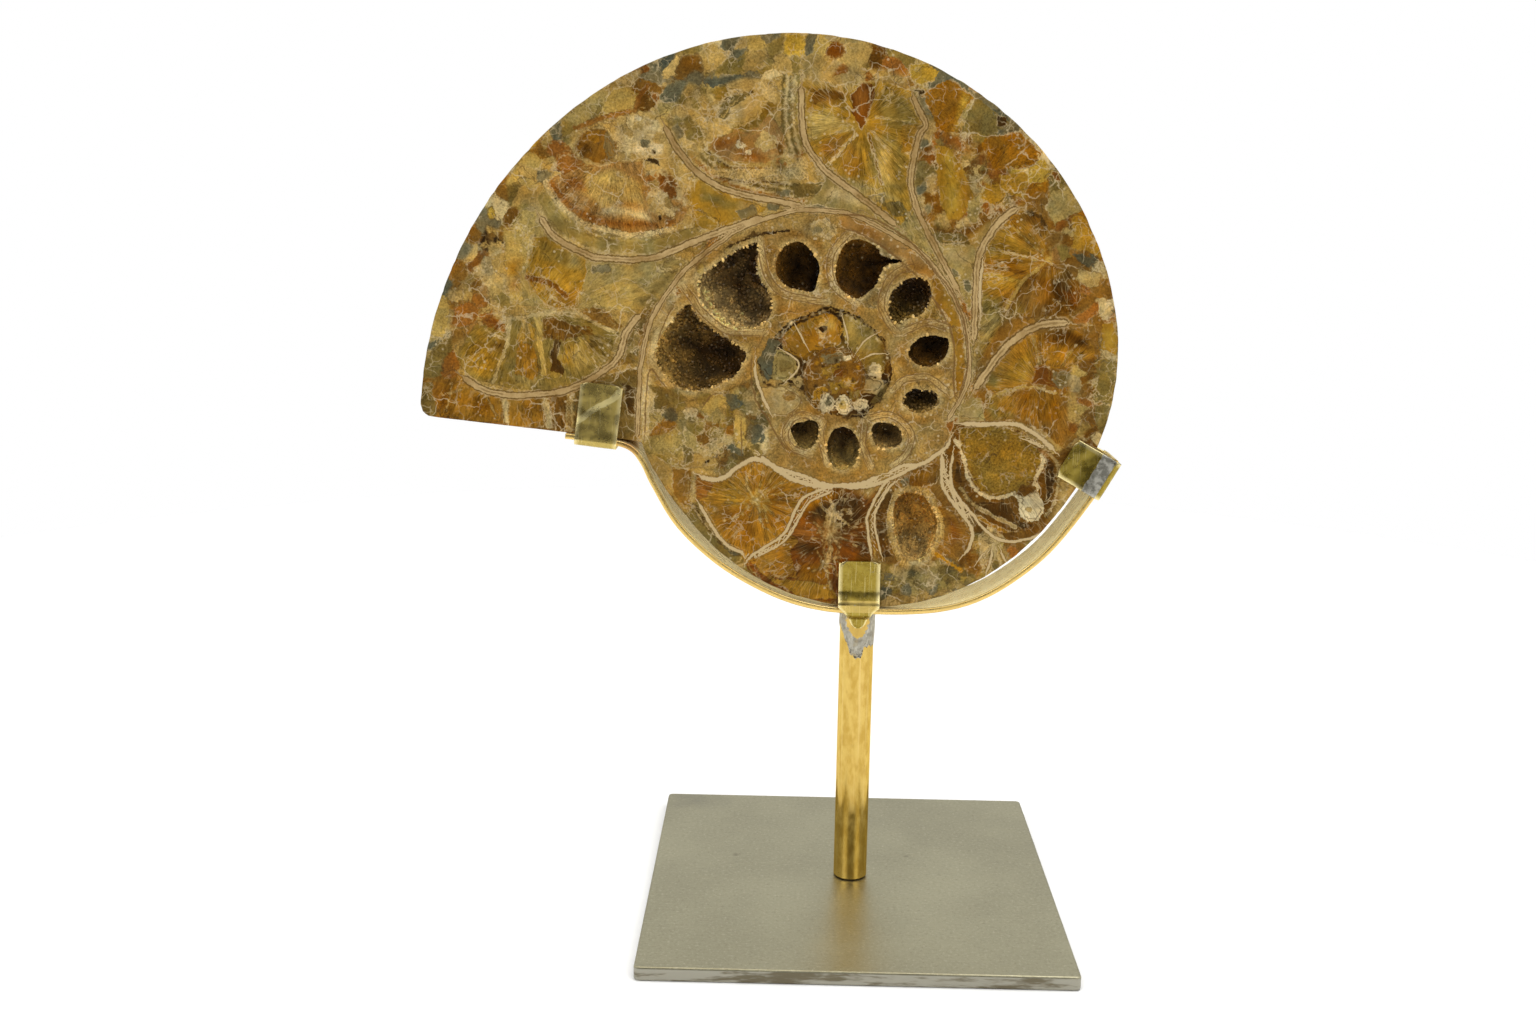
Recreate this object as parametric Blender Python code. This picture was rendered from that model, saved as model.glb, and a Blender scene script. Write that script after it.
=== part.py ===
"""A sawn ammonite half in a brass cradle, on a brass post and a steel base plate.

Metres, +Z up. The fossil's sawn face looks along -Y. Everything hangs from one empty on
the post's axis, which stands off the origin so that the whole part is centred on it.
"""

import math

import bmesh
import bpy
from mathutils import Vector

MM = 0.001
FIT_GAP = 0.3 * MM  # between pieces that touch

# Base plate and the countersunk screw that holds the post.
PLATE_SIDE = 120 * MM
PLATE_THICKNESS = 4 * MM
PLATE_CORNER_RADIUS = 1.5 * MM
PLATE_EDGE_BEVEL = 0.5 * MM
SCREW_SHANK_RADIUS = 2.5 * MM
SCREW_HEAD_RADIUS = 4.6 * MM
SCREW_HEAD_HEIGHT = 2.4 * MM
SCREW_REACH = 14 * MM
SOCKET_RADIUS = 1.7 * MM
SOCKET_DEPTH = 1.6 * MM

# Post.
POST_RADIUS = 5 * MM
POST_NECK_RADIUS = 4.5 * MM
SOLDER_RADIUS = 5.2 * MM
SOLDER_LENGTH = 14 * MM
POST_OFFSET_X = 26.2 * MM  # from the middle of the whole part's width

# Cradle: a flat brass bar on edge, bent round the fossil's lower rim.
CRADLE_DEPTH = 15 * MM
CRADLE_THICKNESS = 1.5 * MM
CRADLE_STEPS_PER_SPAN = 4
CRADLE_ROUTE = [  # middle of the bar's thickness, (x from the post, height above the plate), mm
    (-84.3, 134.8), (-76.5, 133.9), (-69.5, 133.0), (-65.2, 131.2), (-62.2, 127.3), (-59.3, 121.3),
    (-52.9, 110.5), (-44.4, 101.8), (-34.6, 94.8), (-22.0, 88.7), (-10.0, 85.7), (2.0, 85.1), (14.0, 85.2),
    (24.8, 86.4), (34.7, 89.6), (44.5, 95.7), (54.4, 104.8), (64.2, 118.4), (71.4, 130.9),
]

# Clips: brass strap.
LEFT_CLIP_STATION = 1.12  # row of the cradle's route
RIGHT_CLIP_STATION = 17.55
STRAP_THICKNESS = 1 * MM
STRAP_WIDTH = 12 * MM
STRAP_BEND_RADIUS = 1.6 * MM

# Fossil. The rim's radius is tabled against the angle it has turned through, in degrees,
# anticlockwise as seen from the front, 0 towards +X. The table winds in from the sawn end.
COIL_CENTRE = Vector((-10 * MM, 0, PLATE_THICKNESS + 154 * MM))
FACE_Y = -6 * MM
RIM_RADII = [
    (-900, 8.5), (-720, 16.5), (-540, 20.5), (-450, 31.7), (-360, 39.4), (-270, 45.0), (-180, 52.0),
    (-160, 56.6), (-145, 57.2), (-135, 57.9), (-120, 60.5), (-90, 66.9), (-60, 73.0), (-30, 76.8),
    (0, 80.3), (30, 81.8), (60, 85.1), (90, 90.6), (120, 96.9), (150, 104.3), (186, 116.2), (210, 126.0),
]
FIRST_ANGLE = -158.5  # where the sawn end's line meets the earlier whorl
LAST_ANGLE = 185.5  # where the rim turns into the sawn end
SAWN_CORNER = [(-125.0, 140.9), (-123.6, 139.7)]  # (x from the post, height above the plate), mm
SAWN_END = [(-121.0, 139.3), (-67.5, 133.95)]
SAWN_END_STEPS = 8
RIM_STEPS = 112
UMBILICUS_SHARE = 0.28  # inner edge of a whorl's flank, as a share of its rim radius
FLANK_THICKNESS_SHARE = 0.22  # half thickness of a whorl, as a share of its rim radius
RIM_THICKNESS = 1.2 * MM
UMBILICUS_RINGS = [0.15, 0.24, 0.27, 0.36, 0.48, 0.53, 0.62, 0.78, 0.92, 1.0]  # shares of its radius
FLANK_RINGS = [0.03, 0.08, 0.14, 0.24, 0.36, 0.48, 0.6, 0.71, 0.8, 0.88, 0.94, 0.98, 1.0]  # of the rest

# Crystal-lined hollows in the sawn face: (x from the post, height above the plate,
# half width, half height, turn in degrees, depth), mm.
HOLLOWS = [
    (-46.8, 158.0, 12.2, 9.0, -12, 9.0),
    (-37.2, 174.6, 10.2, 7.6, 32, 9.0),
    (-19.8, 183.0, 6.6, 6.2, 0, 7.5),
    (-2.6, 182.6, 6.3, 7.8, -20, 8.0),
    (11.8, 174.4, 5.4, 6.8, -28, 7.0),
    (17.4, 160.2, 5.9, 4.4, 12, 6.5),
    (15.6, 146.2, 5.6, 4.0, -6, 5.5),
    (6.6, 136.0, 4.3, 4.1, 0, 5.5),
    (-5.6, 133.2, 4.5, 5.8, 0, 4.5),
    (-16.6, 137.0, 3.9, 3.8, 0, 4.0),
    (14.6, 112.6, 5.2, 7.8, 6, 6.5),
]


def material(name, colour, roughness, metallic=0.0):
    made = bpy.data.materials.new(name)
    made.use_nodes = True
    surface = made.node_tree.nodes["Principled BSDF"]
    surface.inputs["Base Color"].default_value = (*colour, 1.0)
    surface.inputs["Roughness"].default_value = roughness
    surface.inputs["Metallic"].default_value = metallic
    return made


def smooth_value(table, at):
    """A cubic through the (position, value) rows of table, with the slope of each row's neighbours."""
    def slope(i):
        before, after = max(i - 1, 0), min(i + 1, len(table) - 1)
        return (table[after][1] - table[before][1]) / (table[after][0] - table[before][0])

    span = 0
    while span < len(table) - 2 and at > table[span + 1][0]:
        span += 1
    (x0, y0), (x1, y1) = table[span], table[span + 1]
    width = x1 - x0
    t = (at - x0) / width
    return (
        y0 * (1 + 2 * t) * (1 - t) ** 2
        + y1 * t * t * (3 - 2 * t)
        + width * t * (1 - t) * ((1 - t) * slope(span) - t * slope(span + 1))
    )


def smooth_route(points, steps):
    """A curve through points, with this many steps between each two."""
    across = [(i, p[0]) for i, p in enumerate(points)]
    up = [(i, p[1]) for i, p in enumerate(points)]
    stations = [i / steps for i in range((len(points) - 1) * steps + 1)]
    return [Vector((smooth_value(across, s), smooth_value(up, s))) for s in stations]


def add_object(name, mesh_data, finish, parent, smooth_angle=None):
    """Adds the bmesh to the scene as an object and frees it."""
    bmesh.ops.recalc_face_normals(mesh_data, faces=mesh_data.faces)
    mesh = bpy.data.meshes.new(name)
    mesh_data.to_mesh(mesh)
    mesh_data.free()
    if smooth_angle is not None:
        mesh.shade_smooth()
        mesh.set_sharp_from_angle(angle=math.radians(smooth_angle))
    mesh.materials.append(finish)
    obj = bpy.data.objects.new(name, mesh)
    bpy.context.scene.collection.objects.link(obj)
    obj.parent = parent
    return obj


def turned(profile, segments=32):
    """A solid of revolution about Z. profile runs from the axis, round the outside, back to the axis."""
    made = bmesh.new()
    rings = []
    for radius, height in profile:
        if radius == 0:
            rings.append([made.verts.new((0, 0, height))])
        else:
            ring = []
            for i in range(segments):
                turn = 2 * math.pi * i / segments
                ring.append(made.verts.new((radius * math.cos(turn), radius * math.sin(turn), height)))
            rings.append(ring)
    for lower, upper in zip(rings, rings[1:]):
        join_rings(made, lower, upper)
    return made


def join_rings(made, lower, upper):
    """Faces between two closed rings of vertices, either of which may be a single point."""
    count = max(len(lower), len(upper))
    for i in range(count):
        k = (i + 1) % count
        corners = [lower[i % len(lower)], lower[k % len(lower)], upper[k % len(upper)], upper[i % len(upper)]]
        made.faces.new(list(dict.fromkeys(corners)))


def loft(sections):
    """A closed solid through four-cornered sections, capped at both ends."""
    made = bmesh.new()
    rings = [[made.verts.new(corner) for corner in section] for section in sections]
    for lower, upper in zip(rings, rings[1:]):
        join_rings(made, lower, upper)
    made.faces.new(rings[0])
    made.faces.new(rings[-1])
    return made


def cut(target, cutter):
    """Takes cutter away from target, and keeps cutter as a wire guide."""
    cutter.hide_render = True
    cutter.display_type = "WIRE"
    modifier = target.modifiers.new("cut_" + cutter.name, "BOOLEAN")
    modifier.operation = "DIFFERENCE"
    modifier.solver = "EXACT"
    modifier.object = cutter


# ---------------------------------------------------------------- base and post


def base_plate(steel, parent):
    """A square of sheet steel with its corners and edges eased, countersunk below for the screw."""
    made = bmesh.new()
    bmesh.ops.create_cube(made, size=1)
    bmesh.ops.scale(made, vec=(PLATE_SIDE, PLATE_SIDE, PLATE_THICKNESS), verts=made.verts)
    bmesh.ops.translate(made, vec=(0, 0, PLATE_THICKNESS / 2), verts=made.verts)
    upright = [e for e in made.edges if abs(e.verts[0].co.z - e.verts[1].co.z) > PLATE_THICKNESS / 2]
    bmesh.ops.bevel(made, geom=upright, offset=PLATE_CORNER_RADIUS, segments=4, affect="EDGES", profile=0.5)
    level = [e for e in made.edges if abs(e.verts[0].co.z - e.verts[1].co.z) < PLATE_THICKNESS / 4]
    bmesh.ops.bevel(made, geom=level, offset=PLATE_EDGE_BEVEL, segments=2, affect="EDGES", profile=0.5)
    plate = add_object("base_plate", made, steel, parent, smooth_angle=35)
    mouth = SCREW_HEAD_RADIUS + 2 * FIT_GAP
    bore = SCREW_SHANK_RADIUS + FIT_GAP
    sink = [(0, -MM), (mouth, -MM), (mouth, 0.1 * MM), (bore, SCREW_HEAD_HEIGHT), (bore, 2 * PLATE_THICKNESS)]
    cutter = add_object("countersink_cutter", turned([*sink, (0, 2 * PLATE_THICKNESS)]), steel, parent)
    cut(plate, cutter)


def base_screw(steel, parent):
    """A countersunk socket screw, sunk a hair below the plate's underside."""
    low = FIT_GAP
    neck = low + SCREW_HEAD_HEIGHT
    profile = [(0, low), (SCREW_HEAD_RADIUS, low), (SCREW_HEAD_RADIUS, low + FIT_GAP)]
    profile += [(SCREW_SHANK_RADIUS, neck), (SCREW_SHANK_RADIUS, SCREW_REACH), (0, SCREW_REACH)]
    screw = add_object("base_screw", turned(profile, 24), steel, parent, smooth_angle=30)
    socket = [(0, -MM), (SOCKET_RADIUS, -MM), (SOCKET_RADIUS, low + SOCKET_DEPTH), (0, low + SOCKET_DEPTH)]
    cut(screw, add_object("socket_cutter", turned(socket, 6), steel, parent))


def post(brass, solder, parent):
    """A round brass post, tapped below and necked above, and the silver solder run round its neck."""
    foot = PLATE_THICKNESS + FIT_GAP
    top = PLATE_THICKNESS + 84.0 * MM
    neck = top - SOLDER_LENGTH
    tapped = SCREW_SHANK_RADIUS + FIT_GAP
    tapped_top = SCREW_REACH + MM
    profile = [(0, tapped_top), (tapped, tapped_top), (tapped, foot), (POST_RADIUS, foot)]
    profile += [(POST_RADIUS, neck), (POST_NECK_RADIUS, neck), (POST_NECK_RADIUS, top), (0, top)]
    add_object("post", turned(profile, 40), brass, parent, smooth_angle=30)
    inner, low = POST_NECK_RADIUS + FIT_GAP, neck + FIT_GAP
    sleeve = [(inner, low), (SOLDER_RADIUS - 0.1 * MM, low), (SOLDER_RADIUS, low + MM), (SOLDER_RADIUS, top)]
    sleeve += [(inner, top), (inner, low)]
    collar = turned(sleeve, 40)
    bmesh.ops.remove_doubles(collar, verts=collar.verts, dist=0.01 * MM)
    add_object("solder_collar", collar, solder, parent, smooth_angle=30)


# ---------------------------------------------------------------- cradle and clips


def cradle_route():
    """The bar's middle line, as (x, z) in the frame of the post."""
    route = smooth_route(CRADLE_ROUTE, CRADLE_STEPS_PER_SPAN)
    return [Vector((p.x * MM, PLATE_THICKNESS + p.y * MM)) for p in route]


def cradle_place(station):
    """The middle line's point and direction at this row of the route, counted from 0."""
    across = [(i, p[0]) for i, p in enumerate(CRADLE_ROUTE)]
    up = [(i, p[1]) for i, p in enumerate(CRADLE_ROUTE)]
    ends = (station - 0.1, station + 0.1)
    before, after = (Vector((smooth_value(across, s), smooth_value(up, s))) for s in ends)
    middle = (before + after) / 2
    return Vector((middle.x * MM, PLATE_THICKNESS + middle.y * MM)), (after - before).normalized()


def inward_normals(route):
    """For each point of the route, the unit normal on its left, which faces the fossil."""
    normals = []
    for i in range(len(route)):
        along = route[min(i + 1, len(route) - 1)] - route[max(i - 1, 0)]
        normals.append(Vector((-along.y, along.x)).normalized())
    return normals


def cradle(brass, parent):
    half_depth, half_thickness = CRADLE_DEPTH / 2, CRADLE_THICKNESS / 2
    sections = []
    route = cradle_route()
    for point, normal in zip(route, inward_normals(route)):
        outer, inner = point - normal * half_thickness, point + normal * half_thickness
        sections.append([
            (outer.x, -half_depth, outer.y), (inner.x, -half_depth, inner.y),
            (inner.x, half_depth, inner.y), (outer.x, half_depth, outer.y),
        ])
    add_object("cradle", loft(sections), brass, parent, smooth_angle=30)


def rounded_corners(path, radius, steps=3):
    """The path's rows (u, y, width) with each inner corner cut back and turned through an arc."""
    rounded = [path[0]]
    for before, corner, after in zip(path, path[1:], path[2:]):
        here = Vector(corner)
        back, ahead = Vector(before) - here, Vector(after) - here
        reach = min(radius, 0.45 * back.length, 0.45 * ahead.length)
        start, end = here + back.normalized() * reach, here + ahead.normalized() * reach
        for i in range(steps + 1):
            t = i / steps
            rounded.append(tuple(start * (1 - t) ** 2 + here * 2 * t * (1 - t) + end * t * t))
    rounded.append(path[-1])
    return rounded


def strap(name, seat, along, path, brass, parent):
    """A bent strap. seat is a point (x, z) on the cradle's outer side, along the cradle's direction there.
    path rows are (distance inward from the seat, y, width), the middle of the strap's thickness."""
    inward = Vector((-along.y, along.x))
    stations = rounded_corners(path, STRAP_BEND_RADIUS)
    sections = []
    for i, (u, y, width) in enumerate(stations):
        before, after = stations[max(i - 1, 0)], stations[min(i + 1, len(stations) - 1)]
        run = Vector((after[0] - before[0], after[1] - before[1])).normalized()
        side = Vector((-run.y, run.x)) * STRAP_THICKNESS / 2
        corners = []
        for across, through in ((-1, -1), (1, -1), (1, 1), (-1, 1)):
            place = seat + inward * (u + through * side.x) + along * (across * width / 2)
            corners.append((place.x, y + through * side.y, place.y))
        sections.append(corners)
    add_object(name, loft(sections), brass, parent, smooth_angle=40)


def strap_paths():
    """Each clip's path: rows of (distance inward, y, width)."""
    half = STRAP_THICKNESS / 2
    in_front = -(CRADLE_DEPTH / 2 + FIT_GAP + half)  # past the cradle's front edge
    behind = CRADLE_DEPTH / 2 + FIT_GAP + half
    on_face = FACE_Y - FIT_GAP - half
    under = -(FIT_GAP + half)  # below the cradle's outer side
    on_post = SOLDER_RADIUS + FIT_GAP + half
    full, eased = STRAP_WIDTH, STRAP_WIDTH - 2.4 * MM

    def front_tab(reach, fold):
        """From the tab's tip to the cradle's front edge, folding forward at this distance from the seat."""
        return [
            (reach, on_face, eased), (reach - 1.2 * MM, on_face, full), (fold + 1.6 * MM, on_face, full),
            (fold, in_front, full), (under, in_front, full),
        ]

    def tongue(y_on_post, y_at_cradle):
        """From the cradle's edge down the post, narrowing to a rounded tip."""
        return [
            (-0.4 * MM, y_at_cradle, full), (-1.6 * MM, y_on_post, full - 2 * MM),
            (-3.2 * MM, y_on_post, 5.6 * MM), (-4.8 * MM, y_on_post, 3.6 * MM),
            (-5.8 * MM, y_on_post, 2.2 * MM),
        ]

    left_back = 21.8 * MM
    left = front_tab(16.8 * MM, 2 * MM) + [(under, left_back, full), (12 * MM, left_back, full)]
    right = front_tab(13.2 * MM, 3 * MM)
    right += [(under, behind, full), (7 * MM, behind, full), (14 * MM, 7.5 * MM, eased)]
    centre = front_tab(15.6 * MM, 3.4 * MM)[:-1] + tongue(-on_post, in_front)
    back = [(15 * MM, 7.7 * MM, eased), (6 * MM, behind, full), (2.2 * MM, behind, full)]
    return left, right, centre, back + tongue(on_post, behind)


def clips(brass, parent):
    left, right, centre, back = strap_paths()
    post_top = Vector((0, PLATE_THICKNESS + 84.3 * MM))
    level = Vector((1, 0))
    strap("clip_centre_front", post_top, level, centre, brass, parent)
    strap("clip_centre_back", post_top, level, back, brass, parent)
    sides = [("clip_left", LEFT_CLIP_STATION, left), ("clip_right", RIGHT_CLIP_STATION, right)]
    for name, station, path in sides:
        middle, along = cradle_place(station)
        seat = middle - Vector((-along.y, along.x)) * CRADLE_THICKNESS / 2
        strap(name, seat, along, path, brass, parent)


# ---------------------------------------------------------------- fossil


def rim_radius(angle):
    return smooth_value(RIM_RADII, angle) * MM


def flank_height(radius, angle):
    """How far the shell's outside stands behind the sawn face, at this place in the coil."""
    rim = rim_radius(angle)
    while radius < UMBILICUS_SHARE * rim and angle > -540:
        angle -= 360
        rim = rim_radius(angle)
    inner = UMBILICUS_SHARE * rim
    share = min(max((radius - inner) / (rim - inner), 0), 1)
    shoulder = min(share / 0.17, 1)
    shoulder = shoulder * shoulder * (3 - 2 * shoulder)
    fall = max(0, (share - 0.1) / 0.9) ** 2.4
    return RIM_THICKNESS + FLANK_THICKNESS_SHARE * rim * (0.55 + 0.45 * shoulder) * math.sqrt(1 - fall)


def outline():
    """The sawn face's outline: rows of (offset from the coil's centre, angle turned)."""
    rows = []
    for i in range(RIM_STEPS + 1):
        angle = FIRST_ANGLE + (LAST_ANGLE - FIRST_ANGLE) * i / RIM_STEPS
        turn = math.radians(angle)
        rows.append((Vector((math.cos(turn), math.sin(turn))) * rim_radius(angle), angle))
    start, end = (Vector(p) for p in SAWN_END)
    sawn = [Vector(p) for p in SAWN_CORNER]
    sawn += [start.lerp(end, i / SAWN_END_STEPS) for i in range(SAWN_END_STEPS + 1)]
    for place in sawn:
        offset = Vector((place.x * MM - COIL_CENTRE.x, place.y * MM + PLATE_THICKNESS - COIL_CENTRE.z))
        rows.append((offset, math.degrees(math.atan2(offset.y, offset.x)) + 360))
    return rows


def fossil(stone, parent):
    """Half of a coiled shell, sawn through its middle plane: a flat face in front, a domed flank behind."""
    made = bmesh.new()
    rows = outline()

    def place(offset, depth):
        return (COIL_CENTRE.x + offset.x, FACE_Y + depth, COIL_CENTRE.z + offset.y)

    face_ring = [made.verts.new(place(offset, 0)) for offset, _ in rows]
    made.faces.new(face_ring)
    stations = [(share, 0) for share in UMBILICUS_RINGS] + [(1, share) for share in FLANK_RINGS]
    ring = face_ring
    for in_umbilicus, over_flank in reversed(stations):
        behind = []
        for offset, angle in rows:
            umbilicus = UMBILICUS_SHARE * rim_radius(angle)
            radius = in_umbilicus * umbilicus + over_flank * (offset.length - umbilicus)
            behind.append(made.verts.new(place(offset.normalized() * radius, flank_height(radius, angle))))
        join_rings(made, ring, behind)
        ring = behind
    middle = made.verts.new(place(Vector((0, 0)), flank_height(0, -540)))
    join_rings(made, ring, [middle])
    shell = add_object("fossil_half", made, stone, parent, smooth_angle=40)
    for number, (x, z, half_width, half_height, turn, depth) in enumerate(HOLLOWS):
        hollow = bmesh.new()
        bmesh.ops.create_uvsphere(hollow, u_segments=18, v_segments=10, radius=1)
        bmesh.ops.scale(hollow, vec=(half_width * MM, depth * MM, half_height * MM), verts=hollow.verts)
        cutter = add_object(f"hollow_cutter_{number}", hollow, stone, parent)
        cutter.rotation_euler = (0, -math.radians(turn), 0)
        cutter.location = (x * MM, FACE_Y, PLATE_THICKNESS + z * MM)
        cut(shell, cutter)


def main():
    for obj in list(bpy.data.objects):
        bpy.data.objects.remove(obj)
    stand = bpy.data.objects.new("stand", None)
    bpy.context.scene.collection.objects.link(stand)
    stand.location = (POST_OFFSET_X, 0, 0)
    brass = material("brass", (0.66, 0.47, 0.14), 0.22, 1.0)
    steel = material("brushed_steel", (0.48, 0.46, 0.41), 0.38, 1.0)
    solder = material("silver_solder", (0.55, 0.54, 0.52), 0.4, 1.0)
    stone = material("calcite_fossil", (0.38, 0.23, 0.09), 0.25)
    base_plate(steel, stand)
    base_screw(steel, stand)
    post(brass, solder, stand)
    cradle(brass, stand)
    clips(brass, stand)
    fossil(stone, stand)


main()
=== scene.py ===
"""Looks of a sawn ammonite half that stands in a brass cradle on a post and a steel base plate.

Metres, +Z up, the sawn face towards -Y. Lengths in mm are marked by MM. Places on the face and
along the cradle are given as (across from the post's axis, up from the plate's top), in mm.
"""

import math
import re

import bmesh
import bpy
import numpy as np
from mathutils import Matrix, Vector
from mathutils.geometry import delaunay_2d_cdt


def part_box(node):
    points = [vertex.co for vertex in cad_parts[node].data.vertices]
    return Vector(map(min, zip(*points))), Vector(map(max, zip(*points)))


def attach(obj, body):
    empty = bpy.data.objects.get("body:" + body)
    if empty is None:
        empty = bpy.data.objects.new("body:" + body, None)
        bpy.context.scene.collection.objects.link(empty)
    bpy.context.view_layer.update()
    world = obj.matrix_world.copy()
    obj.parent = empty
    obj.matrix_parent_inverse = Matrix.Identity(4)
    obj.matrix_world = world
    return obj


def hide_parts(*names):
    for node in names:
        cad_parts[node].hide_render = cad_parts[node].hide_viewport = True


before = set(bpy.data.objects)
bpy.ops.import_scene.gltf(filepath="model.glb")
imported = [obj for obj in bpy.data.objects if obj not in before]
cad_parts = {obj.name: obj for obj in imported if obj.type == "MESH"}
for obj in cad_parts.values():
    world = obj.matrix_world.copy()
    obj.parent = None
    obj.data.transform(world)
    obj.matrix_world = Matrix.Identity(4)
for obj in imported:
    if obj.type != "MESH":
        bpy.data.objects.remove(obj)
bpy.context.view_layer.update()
scene = bpy.context.scene

MM = 0.001
post_low, post_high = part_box("post")
POST_X = (post_low.x + post_high.x) / 2
PLATE_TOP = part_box("base_plate")[1].z


# ---------------------------------------------------------------- camera, floor and light
# A camera at table height, a round white table top, and soft light from large panels above
# and at the sides. The room in front of the object is dim, which polished brass needs.

CAMERA_PLACE = Vector((6.0 * MM, -439.3 * MM, 211.6 * MM))
CAMERA_YAW = math.radians(-0.85)
CAMERA_PITCH = math.radians(12.1)
CAMERA_ROLL = math.radians(0.92)
CAMERA_LENS = 36.33
TABLE_RADIUS = 620 * MM


def add_object(name, data):
    made = bpy.data.objects.new(name, data)
    scene.collection.objects.link(made)
    return made


def add_camera():
    turn = Matrix.Rotation(-CAMERA_YAW, 3, "Z") @ Matrix.Rotation(math.pi / 2 - CAMERA_PITCH, 3, "X")
    turn = turn @ Matrix.Rotation(CAMERA_ROLL, 3, "Z")
    camera = add_object("camera", bpy.data.cameras.new("camera"))
    camera.data.sensor_width = 36
    camera.data.lens = CAMERA_LENS
    camera.data.clip_start = 0.01
    camera.matrix_world = Matrix.Translation(CAMERA_PLACE) @ turn.to_4x4()
    scene.camera = camera


def add_panel(name, place, aim, width, height, watts):
    """A soft rectangular light at place, facing aim."""
    data = bpy.data.lights.new(name, "AREA")
    data.shape = "RECTANGLE"
    data.size, data.size_y = width, height
    data.energy = watts
    panel = add_object(name, data)
    panel.location = place
    panel.rotation_euler = (Vector(aim) - Vector(place)).to_track_quat("-Z", "Y").to_euler()


class Value:
    """What a node gives out. A sum or product of values makes the node for it."""

    def __init__(self, nodes, socket):
        self.nodes, self.socket = nodes, socket

    def __add__(self, other):
        return self.nodes.calculate("ADD", self, other)

    def __sub__(self, other):
        return self.nodes.calculate("SUBTRACT", self, other)

    def __mul__(self, other):
        return self.nodes.calculate("MULTIPLY", self, other)

    def __abs__(self):
        return self.nodes.calculate("ABSOLUTE", self)


class NodeTree:
    """A tree of nodes, made node by node."""

    def __init__(self, tree):
        self.tree = tree

    def add(self, kind, inputs=(), out=0, **settings):
        """Makes a node and returns one of its outputs."""
        node = self.tree.nodes.new(kind)
        for name, value in settings.items():
            setattr(node, name, value)
        for key, value in dict(inputs).items():
            self.feed(node.inputs[key], value)
        return Value(self, node.outputs[out]) if node.outputs else node

    def feed(self, socket, value):
        """Puts a number, a colour or another node's output into a socket."""
        if isinstance(value, Value):
            self.tree.links.new(value.socket, socket)
        elif socket.type == "RGBA":
            socket.default_value = (*value, 1)
        else:
            socket.default_value = value

    def calculate(self, operation, *values):
        return self.add("ShaderNodeMath", dict(enumerate(values)), operation=operation)

    def parts(self, vector):
        """The three parts of a vector."""
        first = self.add("ShaderNodeSeparateXYZ", {0: vector})
        return [Value(self, socket) for socket in first.socket.node.outputs]

    def fade(self, value, start, end, low=0.0, high=1.0):
        """low up to start, high from end, and a smooth change between them."""
        ends = {"Value": value, "From Min": start, "From Max": end, "To Min": low, "To Max": high}
        return self.add("ShaderNodeMapRange", ends, interpolation_type="SMOOTHSTEP")


def add_room():
    """Pale surroundings: bright above, white to the eye, dim low down in front of the object."""
    world = bpy.data.worlds.new("studio")
    scene.world = world
    world.use_nodes = True
    world.node_tree.nodes.clear()
    nodes = NodeTree(world.node_tree)
    _, away, up = nodes.parts(nodes.add("ShaderNodeTexCoord", out="Generated"))
    strength = nodes.fade(up, -0.15, 0.75, 0.4, 1.25) * nodes.fade(away, -0.95, -0.35, 0.35, 1.0)
    lit = nodes.add("ShaderNodeBackground", {"Strength": strength})
    seen = nodes.add("ShaderNodeBackground", {"Color": (1, 1, 1)})
    to_eye = nodes.add("ShaderNodeLightPath", out="Is Camera Ray")
    both = nodes.add("ShaderNodeMixShader", {0: to_eye, 1: lit, 2: seen})
    nodes.add("ShaderNodeOutputWorld", {"Surface": both})


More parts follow.
